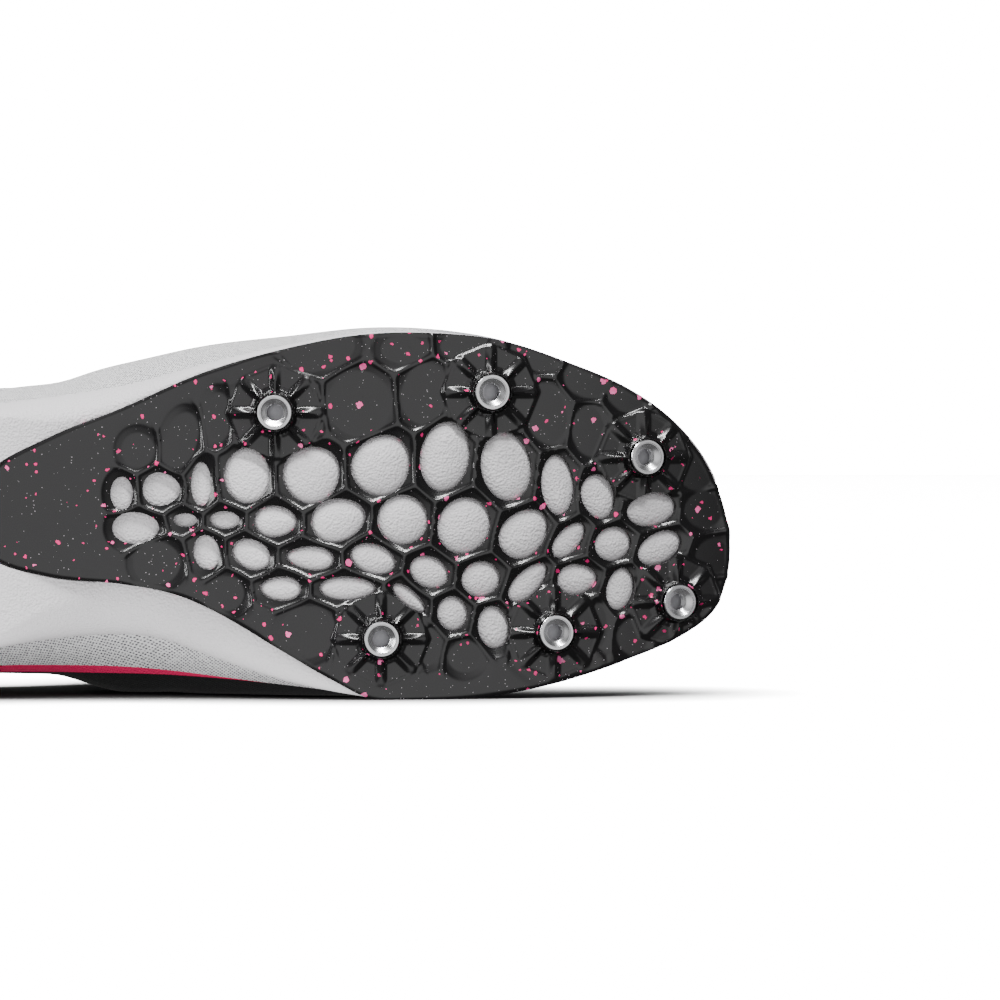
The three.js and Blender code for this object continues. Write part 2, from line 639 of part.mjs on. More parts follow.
// The throat in plan, grown by a margin, over its whole length or down to a given end
function throatPrism(grow, back) {
  const steps = 12;
  const crowding = 1.5; // draws the steps towards the round end
  const front = throatPoint + grow;
  const lateral = [];
  const medial = [];
  for (let k = 0; k <= steps; k += 1) {
    const x = lerp(front, back, (k / steps) ** crowding);
    const half = throatHalf(x, grow);
    if (k > 0) {
      medial.push([x, ridgeAcross(x) - half]);
    }
    lateral.push([x, ridgeAcross(x) + half]);
  }
  return planPrism(lateral.concat(medial.reverse()), throatFloor, formTop + seatDrop);
}

function collarCut() {
  const curve = new THREE.SplineCurve(
    collarLine.map((row) => new THREE.Vector2(row.along * shoeLength, row.height * collarHeight)),
  );
  const corners = curve.getPoints(18).map((corner) => [corner.x, corner.y]);
  const end = corners[corners.length - 1][0];
  corners.push([end, 2 * formTop], [corners[0][0], 2 * formTop]);
  return sidePrism(corners);
}

function eyeletSpots() {
  const spots = [];
  for (let k = 0; k < eyeletPairs; k += 1) {
    const x = lerp(eyeletFront, eyeletBack, k / (eyeletPairs - 1));
    const out = throatHalf(x, 0) + eyeletSetback;
    spots.push({ x, medial: ridgeAcross(x) - out, lateral: ridgeAcross(x) + out });
  }
  return spots;
}

// The upper: one hollow shell with a step along the throat for the eyestay
function makeUpper() {
  const eyestay = lastForm(eyestayStep).intersect(throatPrism(eyestayWidth, throatTop));
  let shell = lastForm(0).add(eyestay).subtract(lastForm(-wallThickness));
  shell = shell.subtract(collarCut()).subtract(throatPrism(0, legCentre));
  shell = shell.subtract(belowFoamTop()).subtract(belowFloor());
  for (const spot of eyeletSpots()) {
    for (const across of [spot.medial, spot.lateral]) {
      const radius = eyeletDiameter / 2;
      const corners = [[0, foamTopAt(ballAlong)], [radius, foamTopAt(ballAlong)], [radius, formTop], [0, formTop]];
      const hole = turned(corners, 8).translate(spot.x, -across, 0);
      shell = shell.subtract(solidFrom(hole));
    }
  }
  return shell;
}

// The insole: a thin board on the foam, inside the upper
function makeInsole() {
  const margin = upperInset + wallThickness + fitGap;
  const edge = pushOut(ringFrom(foamEdges, foamTopAt), () => -margin);
  return ringSolid([
    raised(edge, (corner) => foamTopAt(corner.x) + fitGap),
    raised(edge, (corner) => foamTopAt(corner.x) + fitGap + insoleThickness),
  ]).subtract(belowFloor());
}

// The tongue: a slice of the last's form under the throat, standing up in front of the leg
function makeTongue() {
  const outer = lastForm(-wallThickness - fitGap);
  const inner = lastForm(-wallThickness - fitGap - tongueThickness);
  const region = throatPrism(tongueOverlap, ridgeLine[0].along * shoeLength - tongueOverlap);
  const overTop = sidePrism([
    [0, tongueTop], [shoeLength, tongueTop], [shoeLength, 2 * formTop], [0, 2 * formTop],
  ]);
  return outer.subtract(inner).intersect(region).subtract(overTop);
}

// The highest point of a form at a place in plan
function heightOn(form, x, across) {
  const { vertProperties, triVerts, numProp } = form;
  const read = (vertex) => new THREE.Vector3().fromArray(vertProperties, vertex * numProp);
  const ray = new THREE.Ray(point(x, across, 2 * formTop), new THREE.Vector3(0, 0, -1));
  const hit = new THREE.Vector3();
  let height = -Infinity;
  for (let k = 0; k < triVerts.length; k += 3) {
    const corners = [read(triVerts[k]), read(triVerts[k + 1]), read(triVerts[k + 2])];
    if (ray.intersectTriangle(...corners, false, hit)) {
      height = Math.max(height, hit.z);
    }
  }
  return height;
}

// One flat run of lace from eyelet to eyelet, draped over the form
function laceRun(form, from, to, lift) {
  const steps = 5;
  const along = new THREE.Vector2(to[0] - from[0], to[1] - from[1]).normalize();
  const rings = [];
  for (let k = 0; k <= steps; k += 1) {
    const share = lerp(-0.04, 1.04, k / steps);
    const x = lerp(from[0], to[0], share);
    const across = lerp(from[1], to[1], share);
    const edges = [-1, 1].map((side) => {
      const edgeX = x - (along.y * side * laceWidth) / 2;
      const edgeAcross = across + (along.x * side * laceWidth) / 2;
      return [edgeX, edgeAcross, heightOn(form, edgeX, edgeAcross) + laceClearance + lift];
    });
    rings.push([
      point(edges[0][0], edges[0][1], edges[0][2]),
      point(edges[1][0], edges[1][1], edges[1][2]),
      point(edges[1][0], edges[1][1], edges[1][2] + laceThickness),
      point(edges[0][0], edges[0][1], edges[0][2] + laceThickness),
    ]);
  }
  const positions = rings.flat().flatMap((corner) => [corner.x, corner.y, corner.z]);
  const triangles = [];
  for (let k = 0; k < steps; k += 1) {
    for (let side = 0; side < 4; side += 1) {
      const a = 4 * k + side;
      const b = 4 * k + ((side + 1) % 4);
      triangles.push(a, b + 4, b, a, a + 4, b + 4);
    }
  }
  const end = 4 * steps;
  triangles.push(0, 1, 2, 0, 2, 3, end, end + 2, end + 1, end, end + 3, end + 2);
  const geometry = new THREE.BufferGeometry();
  geometry.setAttribute("position", new THREE.Float32BufferAttribute(positions, 3));
  geometry.setIndex(triangles);
  return solidFrom(geometry);
}

// The lace: a bar over the lowest pair of eyelets, then crossings up to the top pair
function makeLace() {
  const form = lastForm(eyestayStep).getMesh();
  const spots = eyeletSpots();
  const [under, between, over] = [0, 0.3 * laceThickness, 0.6 * laceThickness];
  const bar = laceRun(form, [spots[0].x, spots[0].medial], [spots[0].x, spots[0].lateral], between);
  const runs = [bar];
  for (let k = 0; k < spots.length - 1; k += 1) {
    const low = spots[k];
    const high = spots[k + 1];
    runs.push(laceRun(form, [low.x, low.medial], [high.x, high.lateral], under));
    runs.push(laceRun(form, [low.x, low.lateral], [high.x, high.medial], over));
  }
  return wasm.Manifold.union(runs);
}

const finishes = {
  plate: { color: 0x141316, roughness: 0.28, metalness: 0 },
  steel: { color: 0x8f9296, roughness: 0.35, metalness: 1 },
  foam: { color: 0xe9e7ea, roughness: 0.75, metalness: 0 },
  knit: { color: 0xc9c8cc, roughness: 0.9, metalness: 0 },
  lining: { color: 0x2a2a2e, roughness: 0.95, metalness: 0 },
  lace: { color: 0xf0f0f2, roughness: 0.85, metalness: 0 },
};

const shoe = new THREE.Group();

function addPiece(name, solid, finish) {
  const mesh = solid.getMesh();
  const geometry = new THREE.BufferGeometry();
  geometry.setAttribute("position", new THREE.BufferAttribute(mesh.vertProperties, 3));
  geometry.setIndex(new THREE.BufferAttribute(mesh.triVerts, 1));
  const piece = new THREE.Mesh(geometry, new THREE.MeshStandardMaterial(finishes[finish]));
  piece.name = name;
  shoe.add(piece);
}

addPiece("outsole_plate", makePlate().subtract(belowFloor()), "plate");
spikeSeats.forEach((seat, k) => addPiece(`spike_seat_${k + 1}`, makeSpikeSeat(seat), "steel"));
addPiece("midsole", makeMidsole().subtract(belowFloor()), "foam");
addPiece("insole", makeInsole(), "lining");
addPiece("upper", makeUpper(), "knit");
addPiece("tongue", makeTongue().subtract(belowFloor()), "knit");
addPiece("lace", makeLace(), "lace");

// Lay the shoe on its medial side, sole towards -Y, with its origin under the middle of its box.
shoe.rotation.x = -Math.PI / 2;
shoe.updateMatrixWorld(true);
const box = new THREE.Box3().setFromObject(shoe, true);
const middle = box.getCenter(new THREE.Vector3());
shoe.position.set(-middle.x, -middle.y, -box.min.z);
shoe.updateMatrixWorld(true);

export default shoe;
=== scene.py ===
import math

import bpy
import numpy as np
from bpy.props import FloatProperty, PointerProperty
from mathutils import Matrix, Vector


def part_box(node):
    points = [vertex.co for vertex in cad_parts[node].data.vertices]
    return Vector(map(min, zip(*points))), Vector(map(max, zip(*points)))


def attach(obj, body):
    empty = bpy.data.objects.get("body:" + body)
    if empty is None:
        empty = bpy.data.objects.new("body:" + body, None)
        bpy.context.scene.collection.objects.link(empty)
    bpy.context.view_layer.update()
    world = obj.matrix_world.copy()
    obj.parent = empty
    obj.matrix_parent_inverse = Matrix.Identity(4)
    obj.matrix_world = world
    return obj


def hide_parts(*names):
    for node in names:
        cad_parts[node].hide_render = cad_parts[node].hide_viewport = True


bl_info = {
    "name": "Track spike shoe",
    "version": (1, 0, 0),
    "blender": (4, 5, 0),
    "location": "3D View > Sidebar > Spike Shoe",
    "description": "Dresses the frame of a right track spike shoe: plate, seats, foam, knit and lace",
    "category": "Object",
}

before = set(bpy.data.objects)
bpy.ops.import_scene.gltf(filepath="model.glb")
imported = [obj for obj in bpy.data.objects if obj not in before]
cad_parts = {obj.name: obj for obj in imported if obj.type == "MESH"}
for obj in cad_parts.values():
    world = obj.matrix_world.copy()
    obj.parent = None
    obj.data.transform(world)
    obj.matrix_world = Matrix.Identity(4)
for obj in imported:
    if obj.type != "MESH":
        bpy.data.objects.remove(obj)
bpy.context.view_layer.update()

# The shoe is worked out standing up, in millimetres: x from the heel, y to the medial side, z up from
# the ground. It is then laid on its medial side, on the floor, where the frame's nodes lie.
MM = 0.001
HEEL_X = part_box("midsole")[0][0]
GROUND_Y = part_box("midsole")[0][1]
SHOE_LENGTH = (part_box("outsole_plate")[1][0] - HEEL_X) / MM
BALL_WIDTH = 97.6
FLOOR_TRIM = 0.35
BALL_ALONG = 172
HEEL_PAD_BACK = 24
HEEL_PAD_FRONT = 84
TOE_SPRING = 29
TOE_SPRING_POWER = 1.8
ARCH_RISE = 3.5
HEEL_BEVEL = 5
HEEL_STACK = 26
FOREFOOT_STACK = 13
TOE_STACK = 10
FIT_GAP = 0.3
UPPER_INSET = 0.6
INSTEP_HEIGHT = 88
COLLAR_HEIGHT = 92
FORM_TOP = 140
LEG_CENTRE = 54
LEG_LENGTH = 74
LEG_WIDTH = 52
THROAT_POINT = 187
THROAT_TOP = 96
THROAT_FLOOR = 36
TONGUE_TOP = 110
RIDGE_START = 0.4
COLLAR_PAD = 1.5
SEAT_DROP = 8
COLUMNS = 150

# The star of ribs and facets round each spike seat, and the seat in its hole
STAR_RIBS = 8
STAR_REACH = 12.6
STAR_SITE = 11.5
RING_TOP = 5.15
RING_FOOT = 5.9
RIB_HEIGHT = 1.4
RIB_RUN = 7.2
RIB_TOP = 0.2
RIB_SIDE = 0.9
FACET_DEPTH = 0.4
SEAT_HOLE = 4.95
SEAT_PROUD = 0.2
SEAT_SIDES = 64
GROOVES = 5
GROOVE_RUN = 3.2

# The foam's side and the domes that it forms in the plate's windows
TREAD_INSET = 4.0
SIDE_STEPS = 16
DOME_STEPS = 10
DOME_RISE = 0.9
DOME_GAIN = 0.16
FULL_DOMES = (0.48, 0.58)

# Eyelets, lace and stitches
EYELETS = 6
FIRST_EYELET = 178
LAST_EYELET = 122
EYELET_OUT = 6
EYELET_RADIUS = 2
LACE_THICKNESS = 1.1
LACE_STEPS = 28
LACE_SINK = 3.2
RAY_TOP = 300
STAY_SEAM_INSET = 1.6
COLLAR_SEAMS = (13.5, 15.5)

# The mesh's openings, and the film and the stripe on it, in millimetres along the shoe, up from the
# ground and off the floor
MESH_PITCH = 0.8
MESH_SLANT = 24
VAMP_OPENS = (196, 212)
VAMP_CLOSES = (240, 262)
HEEL_FILM_FRONT = 66
HEEL_FILM_TOP = 64
TOE_FILM_SLOPE = 0.39
TOE_FILM_DROP = 60
FLOOR_BAND_HEIGHT = 5.6
FLOOR_BAND_HEEL_DROP = 7
STRIPE_WIDTH = 2.1
STRIPE_TOP = 52

# Outlines as shares of the shoe length and the ball width, from the heel along the lateral side to the
# toe and back along the medial side.
PLATE_OUTLINE = [
    (0.277, 0.5), (0.298, 0.62), (0.355, 0.715), (0.4255, 0.8), (0.4965, 0.89), (0.5716, 0.954),
    (0.6472, 0.995), (0.7152, 1), (0.7801, 0.98), (0.8429, 0.921), (0.8972, 0.8545), (0.9387, 0.7736),
    (0.9699, 0.674), (0.9887, 0.5687), (0.9979, 0.471), (1, 0.4027), (0.9961, 0.3145), (0.9823, 0.2336),
    (0.9489, 0.1639), (0.8972, 0.1025), (0.8326, 0.0441), (0.7695, 0.0113), (0.706, 0), (0.6585, 0.0051),
    (0.6209, 0.0564), (0.5734, 0.1342), (0.5262, 0.2162), (0.477, 0.2838), (0.4255, 0.3156),
    (0.355, 0.338), (0.298, 0.395),
]
FOAM_OUTLINE = [
    (0, 0.379), (0.0142, 0.543), (0.0496, 0.676), (0.1135, 0.753), (0.2057, 0.784), (0.319, 0.815),
    (0.4255, 0.861), (0.4965, 0.916), (0.5716, 0.966), (0.6472, 1.001), (0.7152, 1.004), (0.7801, 0.979),
    (0.8429, 0.918), (0.8972, 0.851), (0.9387, 0.77), (0.9692, 0.67), (0.9872, 0.5687), (0.9958, 0.471),
    (0.9977, 0.4027), (0.994, 0.318), (0.9802, 0.2395), (0.9489, 0.1685), (0.8972, 0.1055),
    (0.8326, 0.0471), (0.7695, 0.0125), (0.706, 0), (0.6454, 0.0092), (0.5745, 0.0492), (0.5035, 0.1148),
    (0.4553, 0.163), (0.4113, 0.1742), (0.3085, 0.14), (0.2128, 0.062), (0.1277, -0.003), (0.0674, 0.035),
    (0.0213, 0.159),
]

# Along, medial out, lateral out, rise, medial power, lateral power
QUARTERS = [
    (0, 0.012, 0.012, 0.13, 1.7, 1.7),
    (0.14, 0.006, 0.022, 0.14, 1.7, 1.7),
    (0.25, 0.05, 0.035, 0.2, 1.8, 1.7),
    (0.35, 0.135, 0.06, 0.27, 1.9, 1.7),
    (0.43, 0.184, 0.072, 0.31, 1.9, 1.65),
    (0.5, 0.135, 0.06, 0.28, 1.9, 1.6),
    (0.575, 0.058, 0.034, 0.19, 1.9, 1.7),
    (0.65, 0.012, 0.022, 0.1, 1.9, 1.8),
    (0.78, 0.008, 0.01, 0.08, 2, 1.9),
    (0.9, 0.004, 0.004, 0.07, 2.1, 2.1),
    (1, 0.002, 0.002, 0.06, 2.1, 2.1),
]

# Share of the seat, along, height, across
RIDGE_LINE = [
    (0.4, 0.323, 1.59, 0.395),
    (0.45, 0.344, 1.34, 0.4),
    (0.5, 0.376, 1.136, 0.405),
    (0.57, 0.429, 0.977, 0.41),
    (0.65, 0.532, 0.778, 0.41),
    (0.75, 0.663, 0.616, 0.43),
    (0.85, 0.787, 0.495, 0.435),
    (0.94, 0.894, 0.41, 0.42),
    (1, 0.957, 0.3, 0.405),
]
COLLAR_LINE = [
    (-0.04, 1.02), (0.035, 1), (0.1, 0.88), (0.19, 0.73), (0.28, 0.735), (0.355, 0.88), (0.405, 1.06),
]

# Windows through the plate: along, across, long, wide, turn in degrees, and how far the oval is drawn
# out into an egg, towards its far end.
WINDOWS = [
    (0.422, 0.564, 0.06, 0.09, 0, 0), (0.459, 0.575, 0.101, 0.09, 0, 0.15),
    (0.496, 0.589, 0.055, 0.12, 0, 0), (0.539, 0.612, 0.126, 0.151, 0, 0),
    (0.601, 0.616, 0.161, 0.153, 40, 0.1), (0.667, 0.642, 0.156, 0.172, -35, 0.1),
    (0.727, 0.664, 0.136, 0.192, -10, 0), (0.785, 0.636, 0.139, 0.189, 10, 0),
    (0.834, 0.585, 0.091, 0.167, 5, 0), (0.873, 0.552, 0.093, 0.126, 15, -0.1),
    (0.924, 0.517, 0.139, 0.093, 10, 0), (0.435, 0.47, 0.126, 0.085, 0, 0.1),
    (0.481, 0.491, 0.065, 0.037, 0, 0), (0.518, 0.491, 0.084, 0.049, 0, 0),
    (0.566, 0.488, 0.12, 0.087, 0, 0.1), (0.626, 0.492, 0.153, 0.118, 15, 0.1),
    (0.687, 0.492, 0.139, 0.136, 0, 0), (0.745, 0.476, 0.143, 0.158, -30, 0),
    (0.802, 0.454, 0.151, 0.12, 45, 0.1), (0.845, 0.435, 0.119, 0.066, 48, 0.1),
    (0.887, 0.423, 0.103, 0.094, 20, 0), (0.932, 0.411, 0.131, 0.085, 28, 0),
    (0.501, 0.403, 0.071, 0.095, 10, 0), (0.543, 0.398, 0.11, 0.082, -22, 0),
    (0.599, 0.388, 0.134, 0.067, -4, -0.15), (0.659, 0.386, 0.128, 0.082, -17, 0),
    (0.712, 0.35, 0.112, 0.085, -25, 0), (0.761, 0.33, 0.108, 0.098, 10, 0),
    (0.806, 0.32, 0.138, 0.069, 45, 0.1), (0.853, 0.327, 0.112, 0.085, 5, 0.15),
    (0.894, 0.299, 0.077, 0.118, -12, 0), (0.571, 0.305, 0.115, 0.067, 0, -0.1),
    (0.635, 0.306, 0.156, 0.065, 0, 0.1), (0.693, 0.279, 0.114, 0.045, -40, 0.1),
    (0.734, 0.237, 0.085, 0.095, 10, 0), (0.773, 0.198, 0.087, 0.118, 10, 0),
]
POCKETS = [
    (0.437, 0.683, 0.082, 0.087, 0, 0), (0.478, 0.71, 0.082, 0.148, -15, 0),
    (0.513, 0.77, 0.061, 0.133, 0, 0), (0.611, 0.951, 0.177, 0.098, 15, 0),
    (0.646, 0.809, 0.167, 0.172, 0, 0), (0.707, 0.836, 0.118, 0.159, -15, 0),
    (0.687, 0.956, 0.115, 0.072, 0, 0), (0.744, 0.964, 0.123, 0.066, 0, 0),
    (0.823, 0.78, 0.112, 0.164, 10, 0), (0.863, 0.734, 0.09, 0.136, 0, 0),
    (0.81, 0.935, 0.133, 0.066, -15, 0), (0.86, 0.872, 0.123, 0.09, -20, 0),
    (0.898, 0.825, 0.11, 0.077, -30, 0), (0.966, 0.636, 0.11, 0.133, 0, 0),
    (0.974, 0.514, 0.11, 0.102, 0, 0), (0.983, 0.386, 0.102, 0.098, 0, 0),
    (0.989, 0.276, 0.054, 0.082, 0, 0), (0.872, 0.198, 0.055, 0.118, 0, 0),
    (0.905, 0.167, 0.087, 0.098, 0, 0), (0.745, 0.118, 0.085, 0.079, 0, 0),
    (0.711, 0.148, 0.054, 0.092, 0, 0), (0.596, 0.186, 0.156, 0.134, 25, 0),
    (0.522, 0.292, 0.085, 0.09, 0, 0), (0.455, 0.374, 0.123, 0.11, 0, 0),
]
# Creases of the upper: where they cross the ridge, how far they drift back down the
# sides, height (troughs below zero), width, and how far down the sides they reach in degrees.
CREASES = [
    (205, -9, -1.5, 4.4, 70), (211, -10, 0.7, 3.6, 60), (217, -12, -1.9, 4.6, 78),
    (223.5, -12, 0.6, 3.8, 60), (230, -14, -1.2, 5, 66), (86, 14, -1.8, 9, 120), (70, 4, 0.9, 8, 110),
    (150, 26, -1.2, 8, 100), (166, 22, 0.7, 7, 96),
]
SPIKE_SEATS = [
    (0.567, 0.784), (0.769, 0.839), (0.915, 0.661), (0.946, 0.262), (0.829, 0.183), (0.666, 0.169),
]


def clamp01(value):
    return min(max(value, 0.0), 1.0)


def lerp(a, b, t):
    return a + (b - a) * t


def smoothstep(low, high, value):
    t = clamp01((value - low) / (high - low))
    return t * t * (3 - 2 * t)


def read_table(rows, at, column, key=0):
    """Reads a column of a table at a place along it, with smooth passage through the rows."""
    last = len(rows) - 1
    row = 0
    while row < last - 1 and at > rows[row + 1][key]:
        row += 1

    def slope(k):
        before = rows[max(k - 1, 0)]
        after = rows[min(k + 1, last)]
        return (after[column] - before[column]) / (after[key] - before[key])

    near = rows[row]
    far = rows[row + 1]
    span = far[key] - near[key]
    t = clamp01((at - near[key]) / span)
    start = (2 * t**3 - 3 * t**2 + 1) * near[column] + (t**3 - 2 * t**2 + t) * slope(row) * span
    end = (3 * t**2 - 2 * t**3) * far[column] + (t**3 - t**2) * slope(row + 1) * span
    return start + end


def spring_at(x):
    past = max((x - BALL_ALONG) / (SHOE_LENGTH - BALL_ALONG), 0)
    return TOE_SPRING * past**TOE_SPRING_POWER


def tread_at(x):
    arch = clamp01((x - HEEL_PAD_FRONT) / (BALL_ALONG - HEEL_PAD_FRONT))
    bevel = clamp01((HEEL_PAD_BACK - x) / HEEL_PAD_BACK)
    return spring_at(x) + ARCH_RISE * math.sin(arch * math.pi) ** 2 + HEEL_BEVEL * bevel**2


def tread_tilt(x):
    return math.atan(tread_at(x + 0.5) - tread_at(x - 0.5))


def foam_top_at(x):
    forward = smoothstep(HEEL_PAD_FRONT - HEEL_PAD_BACK, BALL_ALONG, x)
    nose = smoothstep(BALL_ALONG, SHOE_LENGTH, x)
    return spring_at(x) + lerp(lerp(HEEL_STACK, FOREFOOT_STACK, forward), TOE_STACK, nose)


def closed_curve(rows, samples=12):
    """A centripetal spline through an outline table, as points in millimetres."""
    corners = np.array([(a * SHOE_LENGTH, b * BALL_WIDTH) for a, b in rows])
    count = len(corners)
    points = []
    for k in range(count):
        four = [corners[(k + step) % count] for step in (-1, 0, 1, 2)]
        knots = [0.0]
        for a, b in zip(four, four[1:]):
            knots.append(knots[-1] + math.sqrt(max(np.linalg.norm(b - a), 1e-6)))
        for s in range(samples):
            t = lerp(knots[1], knots[2], s / samples)
            row = [
                four[i] * (knots[i + 1] - t) / (knots[i + 1] - knots[i])
                + four[i + 1] * (t - knots[i]) / (knots[i + 1] - knots[i])
                for i in range(3)
            ]
            row = [
                row[i] * (knots[i + 2] - t) / (knots[i + 2] - knots[i])
                + row[i + 1] * (t - knots[i]) / (knots[i + 2] - knots[i])
                for i in range(2)
            ]
            span = knots[2] - knots[1]
            points.append(row[0] * (knots[2] - t) / span + row[1] * (t - knots[1]) / span)
    return np.array(points)


def outline_edges(rows):
    """Turns an outline into its two edges at any share of its own length."""
    curve = closed_curve(rows)
    back = curve[curve[:, 0].argmin()]
    front = curve[curve[:, 0].argmax()]
    follow = np.roll(curve, -1, axis=0)

    def at(share):
        x = lerp(back[0], front[0], share)
        if share <= 0 or share >= 1:
            end = back if share <= 0 else front
            return x, end[1], end[1]
        crossing = (curve[:, 0] > x) != (follow[:, 0] > x)
        a = curve[crossing]
        b = follow[crossing]
        across = a[:, 1] + (b[:, 1] - a[:, 1]) * (x - a[:, 0]) / (b[:, 0] - a[:, 0])
        return x, across.min(), across.max()

    return at


def column_share(k):
    return (1 - math.cos(math.pi * k / COLUMNS)) / 2


def ring_place(index):
    medial = index > COLUMNS
    return column_share(2 * COLUMNS - index if medial else index), medial


def ring_from(edges, height_at):
    """A ring from the heel along the lateral side to the toe and back along the medial side."""
    rows = [edges(column_share(k)) for k in range(COLUMNS + 1)]
    lateral = [(x, -high, height_at(x)) for x, _, high in rows]
    medial = [(x, -low, height_at(x)) for x, low, _ in rows[1:COLUMNS]]
    return np.array(lateral + medial[::-1])


def push_out(ring, amounts):
    """Moves each point of a ring out in plan by its own amount."""
    tangent = np.roll(ring, -1, axis=0) - np.roll(ring, 1, axis=0)
    outward = np.stack([tangent[:, 1], -tangent[:, 0]], axis=1)
    outward /= np.linalg.norm(outward, axis=1)[:, None]
    moved = ring.copy()
    moved[:, :2] += outward * np.broadcast_to(amounts, len(ring))[:, None]
    return moved


def at_heights(ring, heights):
    moved = ring.copy()
    moved[:, 2] = heights
    return moved


SOLE_EDGES = outline_edges(PLATE_OUTLINE)
FOAM_EDGES = outline_edges(FOAM_OUTLINE)


def laid(points):
    """Shoe points in millimetres, laid on the medial side in the frame's metres."""
    points = np.asarray(points, float)
    placed = np.empty_like(points)
    placed[:, 0] = HEEL_X + points[:, 0] * MM
    placed[:, 1] = GROUND_Y + points[:, 2] * MM
    placed[:, 2] = -(points[:, 1] + FLOOR_TRIM) * MM
    return placed


def deselect():
    for item in bpy.context.selected_objects:
        item.select_set(False)


def activate(piece):
    deselect()
    piece.select_set(True)
    bpy.context.view_layer.objects.active = piece


def new_piece(name, vertices, faces):
    mesh = bpy.data.meshes.new(name)
    mesh.from_pydata([tuple(v) for v in vertices], [], faces)
    mesh.validate()
    piece = bpy.data.objects.new(name, mesh)
    bpy.context.collection.objects.link(piece)
    return piece


def ring_faces(levels, around, capped=True):
    """Walls between rings, and strips from side to side at both ends."""
    faces = []
    for level in range(levels - 1):
        for k in range(around):
            a = level * around + k
            b = level * around + (k + 1) % around
            faces.append((a, b, b + around, a + around))
    if capped:
        top = (levels - 1) * around
        half = around // 2
        for k in range(half):
            near = (around - k) % around
            far = around - k - 1
            low = [k + 1, k, near, far]
            high = [top + k, top + k + 1, top + far, top + near]
            faces.append(tuple(dict.fromkeys(low)))
            faces.append(tuple(dict.fromkeys(high)))
    return faces


def edit_all(piece):
    activate(piece)
    bpy.ops.object.mode_set(mode="EDIT")
    bpy.ops.mesh.select_all(action="SELECT")


def facing_out(piece):
    edit_all(piece)
    bpy.ops.mesh.normals_make_consistent(inside=False)
    bpy.ops.object.mode_set(mode="OBJECT")
    return piece


def merge_close(piece):
    """Merges corners that lie together, and drops faces without area."""
    edit_all(piece)
    bpy.ops.mesh.remove_doubles(threshold=1e-4)
    bpy.ops.mesh.dissolve_degenerate(threshold=1e-5)
    bpy.ops.object.mode_set(mode="OBJECT")
    return piece


def ring_solid(name, rings):
    return merge_close(new_piece(name, np.concatenate(rings), ring_faces(len(rings), len(rings[0]))))


def prism(name, corners, axis, low, high):
    """A prism along an axis, over an outline drawn in the other two."""
    count = len(corners)
    vertices = np.concatenate([np.insert(np.array(corners, float), axis, at, axis=1) for at in (low, high)])
    faces = [tuple(range(count)), tuple(range(count, 2 * count))]
    for k in range(count):
        ahead = (k + 1) % count
        faces.append((k, ahead, ahead + count, k + count))
    return facing_out(new_piece(name, vertices, faces))


def side_prism(name, corners):
    """A prism across the shoe over a shape drawn from the side, as x and z."""
    return prism(name, corners, 1, -2 * BALL_WIDTH, BALL_WIDTH)


def combine(target, tool, operation, crossing=False):
    """Cuts target by tool or joins them, and deletes the tool."""
    change = target.modifiers.new("combine", "BOOLEAN")
    change.operation = operation
    change.object = tool
    change.solver = "EXACT"
    change.use_self = crossing
    activate(target)
    bpy.ops.object.modifier_apply(modifier=change.name)
    bpy.data.objects.remove(tool)


def below_floor():
    reach = 3 * SHOE_LENGTH
    deselect()
    bpy.ops.mesh.primitive_cube_add(size=reach, location=(0, reach / 2 - FLOOR_TRIM, 0))
    block = bpy.context.object
    bpy.ops.object.transform_apply(location=True, rotation=True, scale=True)
    return block


def join(pieces, name):
    deselect()
    for piece in pieces:
        piece.select_set(True)
    bpy.context.view_layer.objects.active = pieces[0]
    if len(pieces) > 1:
        bpy.ops.object.join()
    whole = bpy.context.view_layer.objects.active
    whole.name = name
    whole.data.name = name
    return whole


def set_materials(piece, materials, index=0):
    """Gives a piece its list of materials, and all its faces the one at an index."""
    piece.data.materials.clear()
    for material in materials:
        piece.data.materials.append(material)
    for polygon in piece.data.polygons:
        polygon.material_index = index
    return piece


def finish_piece(piece, nodes, material, angle=30):
    """Lays a finished piece down in the frame, under the root body, and hides the frame's parts that it
    stands for.
    """
    if material:
        set_materials(piece, [material])
    mesh = piece.data
    count = len(mesh.vertices)
    flat = np.empty(3 * count, np.float32)
    mesh.vertices.foreach_get("co", flat)
    placed = laid(flat.reshape(count, 3))
    placed[:, 2] = np.maximum(placed[:, 2], 0)
    mesh.vertices.foreach_set("co", placed.astype(np.float32).ravel())
    mesh.update()
    activate(piece)
    bpy.ops.object.shade_smooth_by_angle(angle=math.radians(angle))
    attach(piece, "root")
    if nodes:
        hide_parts(*nodes)


# Materials


def linear(hex_colour):
    """An sRGB hex colour as linear red, green, blue and alpha."""
    parts = [int(hex_colour[k : k + 2], 16) / 255 for k in (1, 3, 5)]
    return tuple(p / 12.92 if p <= 0.04045 else ((p + 0.055) / 1.055) ** 2.4 for p in parts) + (1.0,)


def feed(made, **links):
    """Sets a node's inputs to values or links them to sockets, by name or, as in _0, by number."""
    for name, value in links.items():
        socket = made.inputs[int(name[1:]) if name[0] == "_" else name.replace("_", " ")]
        if isinstance(value, bpy.types.NodeSocket):
            made.id_data.links.new(value, socket)
        else:
            socket.default_value = value


def node(tree, kind, settings=None, **links):
    """Adds a node with its settings, input values and links."""
    made = tree.nodes.new(kind)
    for name, value in (settings or {}).items():
        setattr(made, name, value)
    feed(made, **links)
    return made


def object_place(tree):
    return node(tree, "ShaderNodeTexCoord").outputs["Object"]


def noise(tree, place, scale, detail):
    return node(tree, "ShaderNodeTexNoise", Vector=place, Scale=scale, Detail=detail).outputs["Fac"]


def pebbles(tree, place, scale):
    made = node(tree, "ShaderNodeTexVoronoi", {"feature": "SMOOTH_F1"}, Vector=place, Scale=scale)
    return made.outputs["Distance"]


